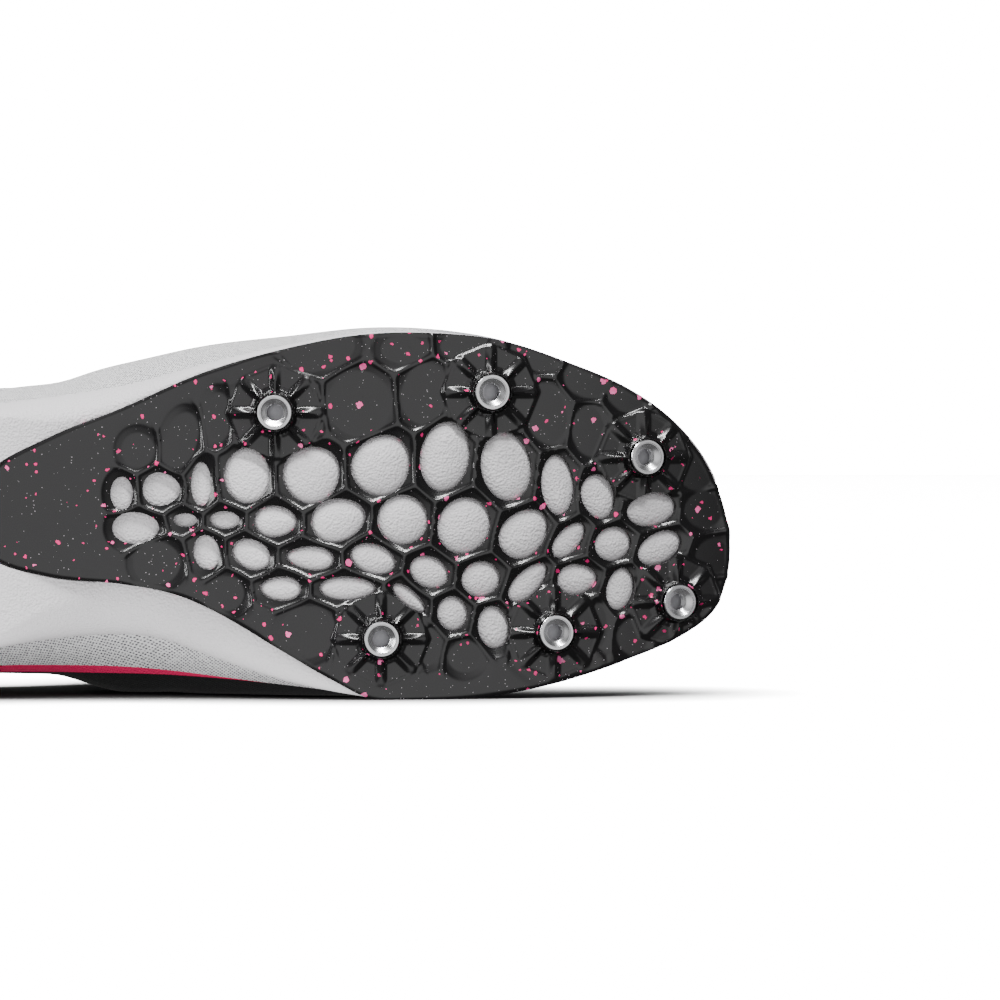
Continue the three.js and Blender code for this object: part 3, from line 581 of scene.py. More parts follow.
def waves(tree, direction, place, scale):
    made = node(tree, "ShaderNodeTexWave", {"bands_direction": direction}, Vector=place, Scale=scale)
    return made.outputs["Fac"]


def bump(tree, height, strength, distance):
    return node(tree, "ShaderNodeBump", Height=height, Strength=strength, Distance=distance).outputs[0]


def maths(tree, kind, *values):
    links = {f"_{k}": value for k, value in enumerate(values)}
    return node(tree, "ShaderNodeMath", {"operation": kind}, **links).outputs[0]


def mix(tree, share, low, high):
    """Mixes two colours, each a socket or a hex colour, by a share."""
    a, b = [linear(end) if isinstance(end, str) else end for end in (low, high)]
    return node(tree, "ShaderNodeMix", {"data_type": "RGBA"}, _0=share, _6=a, _7=b).outputs[2]


def ranged(tree, value, start, stop, low=0.0, high=1.0, soft=True):
    """Maps a value between start and stop to one between low and high, with soft ends or straight."""
    settings = {"interpolation_type": "SMOOTHSTEP" if soft else "LINEAR"}
    ends = {"From_Min": start, "From_Max": stop, "To_Min": low, "To_Max": high}
    return node(tree, "ShaderNodeMapRange", settings, Value=value, **ends).outputs[0]


def blank_material(name):
    material = bpy.data.materials.new(name)
    material.use_nodes = True
    tree = material.node_tree
    tree.nodes.clear()
    output = tree.nodes.new("ShaderNodeOutputMaterial")
    shader = tree.nodes.new("ShaderNodeBsdfPrincipled")
    tree.links.new(shader.outputs["BSDF"], output.inputs["Surface"])
    return material, tree, shader


def moulded_nylon():
    """Injection-moulded black nylon with pink and grey chips: satin, with sharp glints on its edges."""
    material, tree, shader = blank_material("moulded_nylon")
    place = object_place(tree)
    warp = node(tree, "ShaderNodeTexNoise", Vector=place, Scale=900.0, Detail=1.0).outputs
    shift = node(tree, "ShaderNodeVectorMath", {"operation": "SCALE"}, _0=warp["Color"], Scale=0.0011)
    moved = node(tree, "ShaderNodeVectorMath", {"operation": "ADD"}, _0=place, _1=shift.outputs[0])
    moved = moved.outputs[0]
    tone = noise(tree, place, 160.0, 3.0)
    colour = mix(tree, tone, "#0a090a", "#100f11")
    pink = mix(tree, warp["Fac"], "#ff1c84", "#ff8cc8")

    # Dust, bits and flakes: where, cell in mm, share of the cells that are filled, largest chip in mm
    for source, cell, kept, size, tint in (
        (place, 1.0, 0.6, 0.18, "#8b858a"),
        (moved, 2.6, 0.5, 0.6, "#ee1a7c"),
        (moved, 5.2, 0.6, 1.0, pink),
    ):
        cells = node(tree, "ShaderNodeTexVoronoi", Vector=source, Scale=1000 / cell).outputs
        pick = node(tree, "ShaderNodeSeparateColor", Color=cells["Color"]).outputs
        chosen = maths(tree, "LESS_THAN", pick["Red"], kept)
        reach = ranged(tree, pick["Green"], 0.0, 1.0, 0.25 * size / cell, size / cell, soft=False)
        inside = maths(tree, "LESS_THAN", cells["Distance"], reach)
        colour = mix(tree, maths(tree, "MULTIPLY", chosen, inside), colour, tint)
    rough = ranged(tree, tone, 0.0, 1.0, 0.2, 0.28, soft=False)
    grain = bump(tree, noise(tree, place, 2200.0, 2.0), 0.05, 0.00005)
    feed(shader, Base_Color=colour, Roughness=rough, Normal=grain)
    feed(shader, IOR=1.53, Coat_Weight=0.35, Coat_Roughness=0.12)
    return material


def turned_steel(name, dark, light, roughness):
    """Turned and tumbled steel, unevenly tarnished; drilled steel is duller, and its darker colours paint in
    the shade at the bottom of a bore.
    """
    material, tree, shader = blank_material(name)
    tarnish = noise(tree, object_place(tree), 500.0, 4.0)
    rough = ranged(tree, tarnish, 0.0, 1.0, roughness, roughness + 0.16, soft=False)
    feed(shader, Base_Color=mix(tree, tarnish, dark, light), Roughness=rough, Metallic=1.0)
    return material


def moulded_foam():
    """Compression-moulded EVA foam: matt near-white skin with a fine pebble."""
    material, tree, shader = blank_material("moulded_foam")
    place = object_place(tree)
    colour = mix(tree, noise(tree, place, 60.0, 4.0), "#dcd9dc", "#eae8ea")
    skin = bump(tree, pebbles(tree, place, 1600.0), 0.7, 0.00045)
    feed(shader, Base_Color=colour, Normal=skin, Roughness=0.62, IOR=1.45, Sheen_Weight=0.1)
    return material


def engineered_mesh():
    """Warp-knitted polyester mesh: pale yarns in slanting rows with small dark openings."""
    material, tree, shader = blank_material("engineered_mesh")
    place = node(tree, "ShaderNodeTexCoord").outputs
    split = node(tree, "ShaderNodeSeparateXYZ", Vector=place["Object"]).outputs

    def sums(kind, a, b):
        return maths(tree, kind, a, b)

    def gate(source, low_mm, high_mm, soft=True):
        return ranged(tree, source, low_mm * MM, high_mm * MM, soft=soft)

    along = sums("SUBTRACT", split["X"], HEEL_X)
    height = sums("SUBTRACT", split["Y"], GROUND_Y)
    turn = node(tree, "ShaderNodeMapping", Vector=place["UV"], Rotation=(0, 0, math.radians(MESH_SLANT)))
    turn = turn.outputs[0]
    pitch = (1 / MESH_PITCH, 0.7 / MESH_PITCH, 1)
    rows = node(tree, "ShaderNodeMapping", Vector=turn, Scale=pitch).outputs[0]
    cells = node(tree, "ShaderNodeTexVoronoi", Vector=rows, Scale=1.0, Randomness=0.25)
    vamp = sums("SUBTRACT", gate(along, *VAMP_OPENS), gate(along, *VAMP_CLOSES))
    airy = sums("MULTIPLY", vamp, 0.13)
    hole = ranged(tree, sums("SUBTRACT", cells.outputs["Distance"], airy), 0.2, 0.42)

    # Welded film at the heel, behind a slanting line, and round the toe, above the foam
    slant = sums("ADD", along, sums("MULTIPLY", height, 0.5))
    behind = sums("LESS_THAN", slant, HEEL_FILM_FRONT * MM)
    heel_film = sums("MULTIPLY", behind, sums("LESS_THAN", height, HEEL_FILM_TOP * MM))
    toe_line = sums("SUBTRACT", height, sums("MULTIPLY", along, TOE_FILM_SLOPE))
    film = sums("MAXIMUM", heel_film, sums("LESS_THAN", toe_line, -TOE_FILM_DROP * MM))
    closed = sums("MAXIMUM", hole, film)
    yarn = mix(tree, noise(tree, place["Object"], 700.0, 2.0), "#cfced0", "#fbfbfb")
    colour = mix(tree, film, mix(tree, closed, "#59585e", yarn), "#a4a4aa")

    # A pink stripe low on the medial side, where the arch hollows, and near-black below it, on the strip of
    # the upper that lies nearest the floor
    bend = gate(along, 115, 186, soft=False)
    foot = sums("MULTIPLY", sums("SUBTRACT", 1.0, sums("MULTIPLY", bend, bend)), FLOOR_BAND_HEIGHT * MM)
    heelward = sums("SUBTRACT", gate(along, 50, 84), 1.0)
    foot = sums("ADD", foot, sums("MULTIPLY", heelward, FLOOR_BAND_HEEL_DROP * MM))
    wide = sums("SUBTRACT", gate(along, 56, 90), gate(along, 108, 160))
    wide = sums("MULTIPLY", wide, STRIPE_WIDTH * MM)
    low = sums("LESS_THAN", height, STRIPE_TOP * MM)
    striped = sums("MULTIPLY", sums("LESS_THAN", split["Z"], sums("ADD", foot, wide)), low)
    # Near-black wherever the upper lies within the band's height of the floor
    near_floor_black = sums("MULTIPLY", sums("LESS_THAN", split["Z"], foot), low)
    colour = mix(tree, near_floor_black, mix(tree, striped, colour, "#ea155f"), "#0b0c0c")

    # Stitches of the knit between the openings, and the step at the edge of the film
    knit = sums("MULTIPLY", waves(tree, "X", turn, 0.55), waves(tree, "Y", turn, 0.4))
    knit = sums("MULTIPLY", sums("MULTIPLY", knit, 0.35), sums("SUBTRACT", 1.0, film))
    relief = sums("ADD", sums("ADD", closed, knit), sums("MULTIPLY", film, 0.8))
    rough = sums("SUBTRACT", 0.85, sums("MULTIPLY", film, 0.35))
    sheen = sums("MULTIPLY", sums("SUBTRACT", 1.0, striped), 0.3)
    skin = bump(tree, relief, 0.6, 0.0003)
    feed(shader, Base_Color=colour, Normal=skin, Roughness=rough, Sheen_Weight=sheen)
    return material


def welded_film():
    """Thin moulded polyurethane film, welded on: satin, with a fine leathery grain."""
    material, tree, shader = blank_material("welded_film")
    place = object_place(tree)
    colour = mix(tree, noise(tree, place, 90.0, 3.0), "#a9a9af", "#bcbcc2")
    grain = bump(tree, pebbles(tree, place, 1300.0), 0.35, 0.00015)
    feed(shader, Base_Color=colour, Normal=grain, Roughness=0.42)
    return material


def woven_cloth(name, dark, light, thread_mm):
    """Plain woven polyester: two sets of threads that shade each other."""
    material, tree, shader = blank_material(name)
    place = object_place(tree)
    scale = 1000 / thread_mm / 6.28
    both = maths(tree, "MULTIPLY", waves(tree, "X", place, scale), waves(tree, "Y", place, scale))
    weave = bump(tree, both, 0.4, 0.0002)
    feed(shader, Base_Color=mix(tree, both, dark, light), Normal=weave, Roughness=0.9, Sheen_Weight=0.25)
    return material


# Sizes and brightnesses that a user would change


class SPIKE_PG_plate(bpy.types.PropertyGroup):
    thickness: FloatProperty(name="Thickness", description="Board thickness in mm", default=2.8)
    spacing: FloatProperty(name="Spacing", description="Grid of the moulded face in mm", default=0.42)
    ridge_step: FloatProperty(name="Ridge step", description="Step beside a ridge in mm", default=0.28)
    web_slope: FloatProperty(name="Web slope", description="Fall towards a window", default=0.42)
    web_reach: FloatProperty(name="Web reach", description="How far the fall runs in mm", default=2.6)
    ridge_width: FloatProperty(name="Ridge width", description="Top of a ridge in mm", default=0.7)
    pocket_depth: FloatProperty(name="Pocket depth", description="Pocket depth in mm", default=1.1)
    border: FloatProperty(name="Border", description="Border outside the pockets in mm", default=1.1)
    boss_height: FloatProperty(name="Boss height", description="Spike boss height in mm", default=2.4)


class SPIKE_PG_upper(bpy.types.PropertyGroup):
    wall: FloatProperty(name="Wall", description="Knit wall in mm", default=1.6)
    eyestay_width: FloatProperty(name="Eyestay width", description="Eyestay width in mm", default=13.0)
    eyestay_step: FloatProperty(name="Eyestay step", description="Eyestay step in mm", default=0.8)
    throat_width: FloatProperty(name="Throat width", description="Throat opening in mm", default=27.0)
    tongue: FloatProperty(name="Tongue", description="Tongue thickness in mm", default=2.0)
    lace_width: FloatProperty(name="Lace width", description="Flat lace width in mm", default=5.0)


class SPIKE_PG_stage(bpy.types.PropertyGroup):
    lens: FloatProperty(name="Lens", description="Camera lens in mm", default=200.0)
    distance: FloatProperty(name="Distance", description="Camera distance", default=1.4755, unit="LENGTH")
    elevation: FloatProperty(
        name="Elevation", description="Camera elevation", default=math.radians(1.0), subtype="ANGLE"
    )
    front: FloatProperty(name="Front", description="Brightness of the front wall", default=1.1)
    sides: FloatProperty(name="Sides", description="Brightness of the sides", default=0.12)
    # How strongly the floor's ambient occlusion paints the contact shadow into its colour
    contact: FloatProperty(name="Contact", description="Depth of the contact shadow", default=4.5)
    back: FloatProperty(name="Back", description="Brightness of the back wall", default=1.15)
    bounce: FloatProperty(name="Bounce", description="Brightness of the floor's bounce", default=1.8)
    strip: FloatProperty(name="Strip", description="Brightness of the strip light", default=120.0)


# The plate


def opening_distance(opening, x, across):
    """How far points in plan lie outside an egg-shaped opening, below zero inside it."""
    along, centre, long, wide, turn, egg = opening
    angle = math.radians(turn)
    right = x - along * SHOE_LENGTH
    up = across - centre * BALL_WIDTH
    u = (right * math.cos(angle) + up * math.sin(angle)) / (long * BALL_WIDTH / 2)
    v = (up * math.cos(angle) - right * math.sin(angle)) / (wide * BALL_WIDTH / 2)
    if long >= wide:
        v = v / (1 - egg * np.clip(u, -1.2, 1.2))
    else:
        u = u / (1 - egg * np.clip(v, -1.2, 1.2))
    r = np.hypot(u, v)
    slope = np.hypot(u / (long * BALL_WIDTH / 2), v / (wide * BALL_WIDTH / 2))
    return r * (r - 1) / np.maximum(slope, 1e-6)


def outline_distance(corners, x, across):
    """How far points in plan lie inside a closed outline, below zero outside it."""
    nearest = np.full(x.shape, 1e9)
    inside = np.zeros(x.shape, bool)
    for (ax, ay), (bx, by) in zip(corners, np.roll(corners, -1, axis=0)):
        ex, ey = bx - ax, by - ay
        t = np.clip(((x - ax) * ex + (across - ay) * ey) / (ex * ex + ey * ey), 0, 1)
        nearest = np.minimum(nearest, (x - ax - t * ex) ** 2 + (across - ay - t * ey) ** 2)
        if ay != by:
            inside ^= ((ay > across) != (by > across)) & (x < ax + ex * (across - ay) / ey)
    return np.where(inside, 1, -1) * np.sqrt(nearest)


def ease(low, high, values):
    t = np.clip((values - low) / (high - low), 0, 1)
    return t * t * (3 - 2 * t)


def from_seat(seat, x, across):
    return x - seat[0] * SHOE_LENGTH, across - seat[1] * BALL_WIDTH


def star_height(boss_height, seat, x, across):
    """The boss round a spike seat: a ring, ribs that run out, and facets sunk between them."""
    dx, dy = from_seat(seat, x, across)
    radius = np.hypot(dx, dy)
    sector = 2 * math.pi / STAR_RIBS
    angle = np.abs((np.arctan2(dy, dx) + sector / 2) % sector - sector / 2)
    off_rib = radius * np.sin(angle)
    past_edge = radius * np.cos(sector / 2 - angle) - STAR_REACH * math.cos(sector / 2)
    ring = boss_height * (1 - ease(RING_TOP, RING_FOOT, radius))
    fall = np.clip((STAR_REACH - radius) / RIB_RUN, 0, 1)
    rib = RIB_HEIGHT * fall * (1 - np.clip((off_rib - RIB_TOP) / RIB_SIDE, 0, 1))
    inside = np.minimum(np.minimum(off_rib - 1.0, radius - 6.3), 0.2 - past_edge)
    return np.maximum(ring, rib) - FACET_DEPTH * ease(0, 0.8, inside), past_edge


def plate_fields(sizes, x, across):
    """How far each point lies from the nearest cut, and how deep the plate's face is sunk there."""
    rim = outline_distance(closed_curve(PLATE_OUTLINE, 6), x, across)
    windows = np.array([opening_distance(opening, x, across) for opening in WINDOWS])
    pockets = np.array([opening_distance(opening, x, across) for opening in POCKETS])
    pockets = np.maximum(pockets, sizes.border - rim)
    seats = np.array([np.hypot(*from_seat(seat, x, across)) for seat in SPIKE_SEATS])
    stars = seats - STAR_SITE
    sites = np.sort(np.concatenate([windows, pockets, stars]), axis=0)
    first = np.maximum(sites[0], 0)
    from_ridge = (sites[1] - first) / 2
    ridge = 1 - ease(sizes.ridge_width / 2, sizes.ridge_width / 2 + 0.35, from_ridge)
    window = np.maximum(windows.min(axis=0), 0)
    near = np.minimum(window, (sites[0] + sites[1]) / 2 - sizes.ridge_width / 2)
    depth = sizes.web_slope * np.clip(sizes.web_reach - near, 0, sizes.web_reach)
    depth += sizes.ridge_step * (1 - ridge) * (1 - ease(0.6 * sizes.web_reach, 1.8 * sizes.web_reach, first))
    nearest_pocket = pockets.min(axis=0)
    slope_run = np.clip((sites[0] + sites[1] - sizes.ridge_width) / 2, 0.5, sizes.web_reach)
    floor = 1 - np.clip(np.maximum(nearest_pocket, 0) / slope_run, 0, 1)
    depth = depth * (1 - floor) + sizes.pocket_depth * floor
    for seat in SPIKE_SEATS:
        height, past_edge = star_height(sizes.boss_height, seat, x, across)
        depth = depth * ease(-0.5, 1.0, past_edge) - height * ease(0.4, 2.4, rim)
    depth += 0.45 * np.clip(1 - rim / 0.9, 0, 1)
    cut = np.minimum(windows.min(axis=0), seats.min(axis=0) - SEAT_HOLE)
    return np.minimum(cut, rim), depth


def cut_grid(field, spacing, corner):
    """Cells of a grid where the field is above zero, cut along its zero line: points in plan and faces."""
    columns, rows = field.shape
    field = np.where(np.abs(field) < 0.12 * spacing, 0.0, field)
    keep = field >= 0
    points = []
    number = {}

    def at(i, j):
        if (i, j) not in number:
            number[(i, j)] = len(points)
            points.append((corner[0] + i * spacing, corner[1] + j * spacing))
        return number[(i, j)]

    def crossing(i, j, k, m):
        key = (min((i, j), (k, m)), max((i, j), (k, m)))
        if key not in number:
            a, b = field[key[0]], field[key[1]]
            t = a / (a - b)
            number[key] = len(points)
            points.append(
                (
                    corner[0] + lerp(key[0][0], key[1][0], t) * spacing,
                    corner[1] + lerp(key[0][1], key[1][1], t) * spacing,
                )
            )
        return number[key]

    faces = []
    touched = keep[:-1, :-1] | keep[1:, :-1] | keep[1:, 1:] | keep[:-1, 1:]
    for i, j in np.argwhere(touched):
        i, j = int(i), int(j)
        loop = ((i, j), (i + 1, j), (i + 1, j + 1), (i, j + 1))
        face = []
        for here, there in zip(loop, loop[1:] + loop[:1]):
            if keep[here]:
                face.append(at(*here))
            if keep[here] != keep[there] and field[here] != 0 and field[there] != 0:
                face.append(crossing(*here, *there))
        face = list(dict.fromkeys(face))
        if len(face) > 2:
            faces.append(face)
    return np.array(points), faces


def oval_rings(opening, levels, sides=48):
    """Rings of an egg-shaped opening, one for each offset and height, in flat plate coordinates."""
    along, centre, long, wide, turn, egg = opening
    angle = math.radians(turn)
    rings = []
    for offset, z in levels:
        ring = []
        for k in range(sides):
            a = 2 * math.pi * k / sides
            u = max(long * BALL_WIDTH / 2 + offset, 0.05) * math.cos(a)
            v = max(wide * BALL_WIDTH / 2 + offset, 0.05) * math.sin(a)
            if long >= wide:
                v *= 1 - egg * math.cos(a)
            else:
                u *= 1 - egg * math.sin(a)
            right = u * math.cos(angle) - v * math.sin(angle)
            up = u * math.sin(angle) + v * math.cos(angle)
            ring.append((along * SHOE_LENGTH + right, -(centre * BALL_WIDTH + up), z))
        rings.append(np.array(ring[::-1]))
    return rings


def tube_solid(name, rings):
    around = len(rings[0])
    faces = ring_faces(len(rings), around, capped=False)
    top = (len(rings) - 1) * around
    faces.append(tuple(reversed(range(around))))
    faces.append(tuple(top + k for k in range(around)))
    return new_piece(name, np.concatenate(rings), faces)


def on_tread(points):
    """Bends flat points, with z as the depth into the sole, onto the curved tread."""
    points = np.asarray(points, float)
    bent = points.copy()
    for k, (x, _, z) in enumerate(points):
        tilt = tread_tilt(x)
        bent[k, 0] = x - math.sin(tilt) * z
        bent[k, 2] = tread_at(x) + math.cos(tilt) * z
    return bent


def bend_to_tread(piece):
    mesh = piece.data
    flat = np.array([vertex.co[:] for vertex in mesh.vertices])
    for vertex, place in zip(mesh.vertices, on_tread(flat)):
        vertex.co = place


class SPIKE_OT_plate(bpy.types.Operator):
    """Builds the moulded spike plate with its windows, pockets and ribbed bosses"""

    bl_idname = "spike.plate"
    bl_label = "Spike Plate"

    def execute(self, context):
        sizes = context.scene.spike_plate
        spacing = sizes.spacing
        corner = (PLATE_OUTLINE[0][0] * SHOE_LENGTH - 2, -2)
        columns = int((SHOE_LENGTH + 2 - corner[0]) / spacing) + 2
        rows = int((BALL_WIDTH + 4) / spacing) + 2
        xs = corner[0] + spacing * np.arange(columns)
        ys = corner[1] + spacing * np.arange(rows)
        gx, gy = np.meshgrid(xs, ys, indexing="ij")
        field, _ = plate_fields(sizes, gx, gy)
        plan, faces = cut_grid(field, spacing, corner)
        _, depth = plate_fields(sizes, plan[:, 0], plan[:, 1])
        front = on_tread(np.column_stack([plan[:, 0], -plan[:, 1], depth]))
        back = on_tread(np.column_stack([plan[:, 0], -plan[:, 1], np.full(len(plan), sizes.thickness)]))
        count = len(plan)
        edges = {}
        for face in faces:
            for a, b in zip(face, face[1:] + face[:1]):
                edges[(a, b)] = True
        open_edges = [(a, b) for a, b in edges if (b, a) not in edges]
        walls = [(b, a, a + count, b + count) for a, b in open_edges]
        closed = faces + walls + [[k + count for k in reversed(face)] for face in faces]
        plate = new_piece("spike_plate", np.concatenate([front, back]), closed)
        activate(plate)
        bpy.ops.object.mode_set(mode="EDIT")
        bpy.ops.mesh.select_all(action="DESELECT")
        bpy.ops.object.mode_set(mode="OBJECT")
        for polygon in plate.data.polygons[len(faces) + len(walls) :]:
            polygon.select = True
        bpy.ops.object.mode_set(mode="EDIT")
        bpy.ops.mesh.dissolve_limited(angle_limit=math.radians(1.5))
        bpy.ops.mesh.select_all(action="SELECT")
        bpy.ops.mesh.normals_make_consistent(inside=False)
        bpy.ops.object.mode_set(mode="OBJECT")
        lowest = -FLOOR_TRIM
        for vertex in plate.data.vertices:
            vertex.co.y = min(vertex.co.y, lowest)
        finish_piece(plate, ["outsole_plate"], moulded_nylon(), 40)
        weighted = plate.modifiers.new("weighted", "WEIGHTED_NORMAL")
        weighted.keep_sharp = True
        activate(plate)
        bpy.ops.object.modifier_apply(modifier=weighted.name)
        return {"FINISHED"}


class SPIKE_OT_seats(bpy.types.Operator):
    """Builds the six steel spike seats, with grooves in their bores that stand for a thread"""

    bl_idname = "spike.seats"
    bl_label = "Spike Seats"

    def execute(self, context):
        steel = turned_steel("turned_steel", "#c9c9cb", "#f4f4f6", 0.16)
        # The bores' bottoms: rougher drilled steel, whose darker colours are painted shade.
        shaded_bore = turned_steel("drilled_steel_painted_shade", "#8c8c90", "#b2b2b6", 0.42)
        low = -context.scene.spike_plate.boss_height - SEAT_PROUD
        profile = [(4.55, low + 5.9), (4.7, low + 5.7), (4.7, low + 0.25), (4.5, low), (3.95, low)]
        profile += [(3.85, low + 0.3), (3.7, low + 0.3), (3.1, low + 0.75), (2.65, low + 1.0)]
        for k in range(GROOVES):
            top = low + 1.0 + GROOVE_RUN * k / GROOVES
            profile += [(2.3, top + 0.25), (2.65, top + 0.55)]
        profile += [(2.3, low + 4.4), (0.2, low + 4.45)]
        turn = 2 * math.pi * np.arange(SEAT_SIDES) / SEAT_SIDES
        for number, (along, across) in enumerate(SPIKE_SEATS, 1):
            x = along * SHOE_LENGTH
            tilt = tread_tilt(x)
            rings = []
            for radius, z in reversed(profile):
                ahead = radius * np.cos(turn)
                place_x = x + math.cos(tilt) * ahead - math.sin(tilt) * z
                place_z = tread_at(x) + math.sin(tilt) * ahead + math.cos(tilt) * z
                place_y = -across * BALL_WIDTH + radius * np.sin(turn)
                rings.append(np.column_stack([place_x, place_y, place_z]))
            seat = set_materials(facing_out(tube_solid(f"steel_seat_{number}", rings)), [steel, shaded_bore])
            for polygon in [*seat.data.polygons[:SEAT_SIDES], seat.data.polygons[-2]]:
                polygon.material_index = 1
            finish_piece(seat, [f"spike_seat_{number}"], None, 35)
        return {"FINISHED"}


class SPIKE_OT_midsole(bpy.types.Operator):
    """Builds the foam midsole, with a soft dome behind each window of the plate"""

    bl_idname = "spike.midsole"
    bl_label = "Foam Midsole"

    def execute(self, context):
        thickness = context.scene.spike_plate.thickness
        top = ring_from(FOAM_EDGES, foam_top_at)
        inset = push_out(top, -TREAD_INSET)
        tread = inset.copy()
        low, _, _ = SOLE_EDGES(0)
        high, _, _ = SOLE_EDGES(1)
        for k, (x, y, _) in enumerate(inset):
            heelward = smoothstep(HEEL_PAD_FRONT, 1.4 * HEEL_PAD_FRONT, x)
            across = y
            if x > HEEL_PAD_FRONT:
                share = min(max((x - low) / (high - low), 0.0005), 0.9995)
                _, medial, lateral = SOLE_EDGES(share)
                across = -medial if ring_place(k)[1] else -lateral
            tread[k] = (x, lerp(y, across, heelward), tread_at(x) + heelward * (thickness + 1.5 * FIT_GAP))
        rings = [tread]
        for step in range(1, SIDE_STEPS):
            turn = step / SIDE_STEPS * math.pi / 2
            bulge = np.array([math.sin(turn), math.sin(turn), 1 - math.cos(turn)])
            rings.append(tread + (top - tread) * bulge)
        rings.append(top)
        foam = ring_solid("foam_midsole", rings)
        edge = push_out(ring_from(SOLE_EDGES, tread_at), FIT_GAP)
        deep = edge[:, 2] + thickness + FIT_GAP
        recess = ring_solid("recess", [at_heights(edge, edge[:, 2] - 9), at_heights(edge, deep)])
        combine(foam, recess, "DIFFERENCE")
        combine(foam, below_floor(), "DIFFERENCE")
        domes = []
        for opening in WINDOWS:
            half = min(opening[2], opening[3]) * BALL_WIDTH / 2
            rise = (DOME_RISE + DOME_GAIN * half) * lerp(0.15, 1, smoothstep(*FULL_DOMES, opening[0]))
            base = thickness + FIT_GAP
            levels = [(0.3, base + 0.6), (0.3, base)]
            for k in range(1, DOME_STEPS + 1):
                angle = k / DOME_STEPS * math.pi / 2
                levels.append((-0.12 - (half - 0.2) * (1 - math.cos(angle)), base - rise * math.sin(angle)))
            domes.append(tube_solid("dome", oval_rings(opening, levels)))
        dome = join(domes, "domes")
        bend_to_tread(dome)
        facing_out(dome)
        combine(foam, dome, "UNION", crossing=True)
        finish_piece(foam, ["midsole"], moulded_foam(), 40)
        return {"FINISHED"}


# The upper


def ridge_at(share, grow):
    def place(at):
        x = read_table(RIDGE_LINE, at, 1) * SHOE_LENGTH
        return np.array([x, spring_at(x) + read_table(RIDGE_LINE, at, 2) * INSTEP_HEIGHT])

    step = 0.004
    here = place(share)
    run = place(min(share + step, 1)) - place(max(share - step, RIDGE_START))
    run /= np.linalg.norm(run)
    across = read_table(RIDGE_LINE, share, 3) * BALL_WIDTH
    return here[0] - run[1] * grow, -across, here[1] + run[0] * grow


def leg_at(share, medial, grow):
    angle = math.pi * share / RIDGE_START
    centre = RIDGE_LINE[0][3] * BALL_WIDTH
    sideways = (LEG_WIDTH / 2 + grow) * math.sin(angle) * (-1 if medial else 1)
    return LEG_CENTRE - (LEG_LENGTH / 2 + grow) * math.cos(angle), -(centre + sideways), FORM_TOP


def collar_at(x):
    return read_table([(a * SHOE_LENGTH, h * COLLAR_HEIGHT) for a, h in COLLAR_LINE], x, 1)


def knit_relief(points):
    """Moves points of the form out or in: creases over the ball and at the sides, and a padded collar."""
    x, y, z = points.T
    marks = np.linspace(0, SHOE_LENGTH, 80)
    centre = np.interp(x, marks, [ridge_across(at) for at in marks])
    middle = np.interp(x, marks, [foam_top_at(at) + 14 for at in marks])
    away = np.stack([y + centre, z - middle], axis=1)
    away /= np.maximum(np.linalg.norm(away, axis=1), 1e-6)[:, None]
    down = np.degrees(np.arctan2(np.abs(y + centre), z - middle))
    relief = np.zeros(len(points))
    for at, drift, height, width, reach in CREASES:
        near = np.exp(-(((x - at - drift * down / 90) / width) ** 2))
        relief += height * near * (1 - ease(0.5 * reach, reach, down))
    low_marks = marks[marks < 110]
    edge = np.interp(x, low_marks, [collar_at(at) for at in low_marks])
    relief += COLLAR_PAD * np.exp(-(((edge - z - 7) / 6) ** 2)) * (1 - ease(85, 105, x))
    moved = points.copy()
    moved[:, 1:] += away * relief[:, None]
    return moved


def last_rings(grow):
    """The rings of the last's form, thicker or thinner by grow."""
    seat = push_out(ring_from(FOAM_EDGES, foam_top_at), grow - UPPER_INSET)
    places = [ring_place(k) for k in range(len(seat))]
    out = np.array([read_table(QUARTERS, s, 1 if medial else 2) for s, medial in places]) * BALL_WIDTH
    rise = np.array([read_table(QUARTERS, s, 3) for s, _ in places]) * INSTEP_HEIGHT
    power = np.array([2 / read_table(QUARTERS, s, 4 if medial else 5) for s, medial in places])
    widest = push_out(seat, out)
    widest[:, 2] += rise
    crown = np.array([leg_at(s, m, grow) if s < RIDGE_START else ridge_at(s, grow) for s, m in places])
    rings = [at_heights(seat, seat[:, 2] - SEAT_DROP - max(-grow, 0)), seat]
    for climb in (0.12, 0.25, 0.4, 0.55, 0.7, 0.85, 1.0):
        spread = math.sin(climb * math.pi / 2)
        rings.append(seat + (widest - seat) * np.array([spread, spread, climb]))
    steps = 22
    for k in range(1, steps + 1):
        angle = math.pi / 2 * k / steps
        sideways = np.zeros(len(seat)) if k == steps else math.cos(angle) ** power
        upward = math.sin(angle) ** power
        ring = crown + (widest - crown) * sideways[:, None]
        ring[:, 2] = widest[:, 2] + (crown[:, 2] - widest[:, 2]) * upward
        rings.append(ring)
    return [knit_relief(ring) for ring in rings]


def ridge_across(x):
    return read_table(RIDGE_LINE, x / SHOE_LENGTH, 3, key=1) * BALL_WIDTH


def throat_half(x, grow, width):
    nose = width / 4 + grow
    past = THROAT_POINT + grow - x
    rounded = 1 if past >= nose else math.sqrt(max(1 - (1 - past / nose) ** 2, 0))
    opened = clamp01((THROAT_POINT - x) / (THROAT_POINT - THROAT_TOP))
    return rounded * (lerp(width * 0.36, width / 2, opened) + grow)


def throat_line(grow, back, width):
    """The edge of the throat in plan, up the lateral side to the front and back down the medial side."""
    steps = 40
    front = THROAT_POINT + grow
    lateral = []
    medial = []
    for k in range(steps + 1):
        x = lerp(front, back, (k / steps) ** 1.5)
        half = throat_half(x, grow, width)
        if k > 0:
            medial.append((x, ridge_across(x) - half))
        lateral.append((x, ridge_across(x) + half))
    return lateral[::-1] + medial


def throat_prism(grow, back, width):
    corners = [(x, -across) for x, across in throat_line(grow, back, width)]
    return prism("throat", corners, 2, THROAT_FLOOR, FORM_TOP + SEAT_DROP)


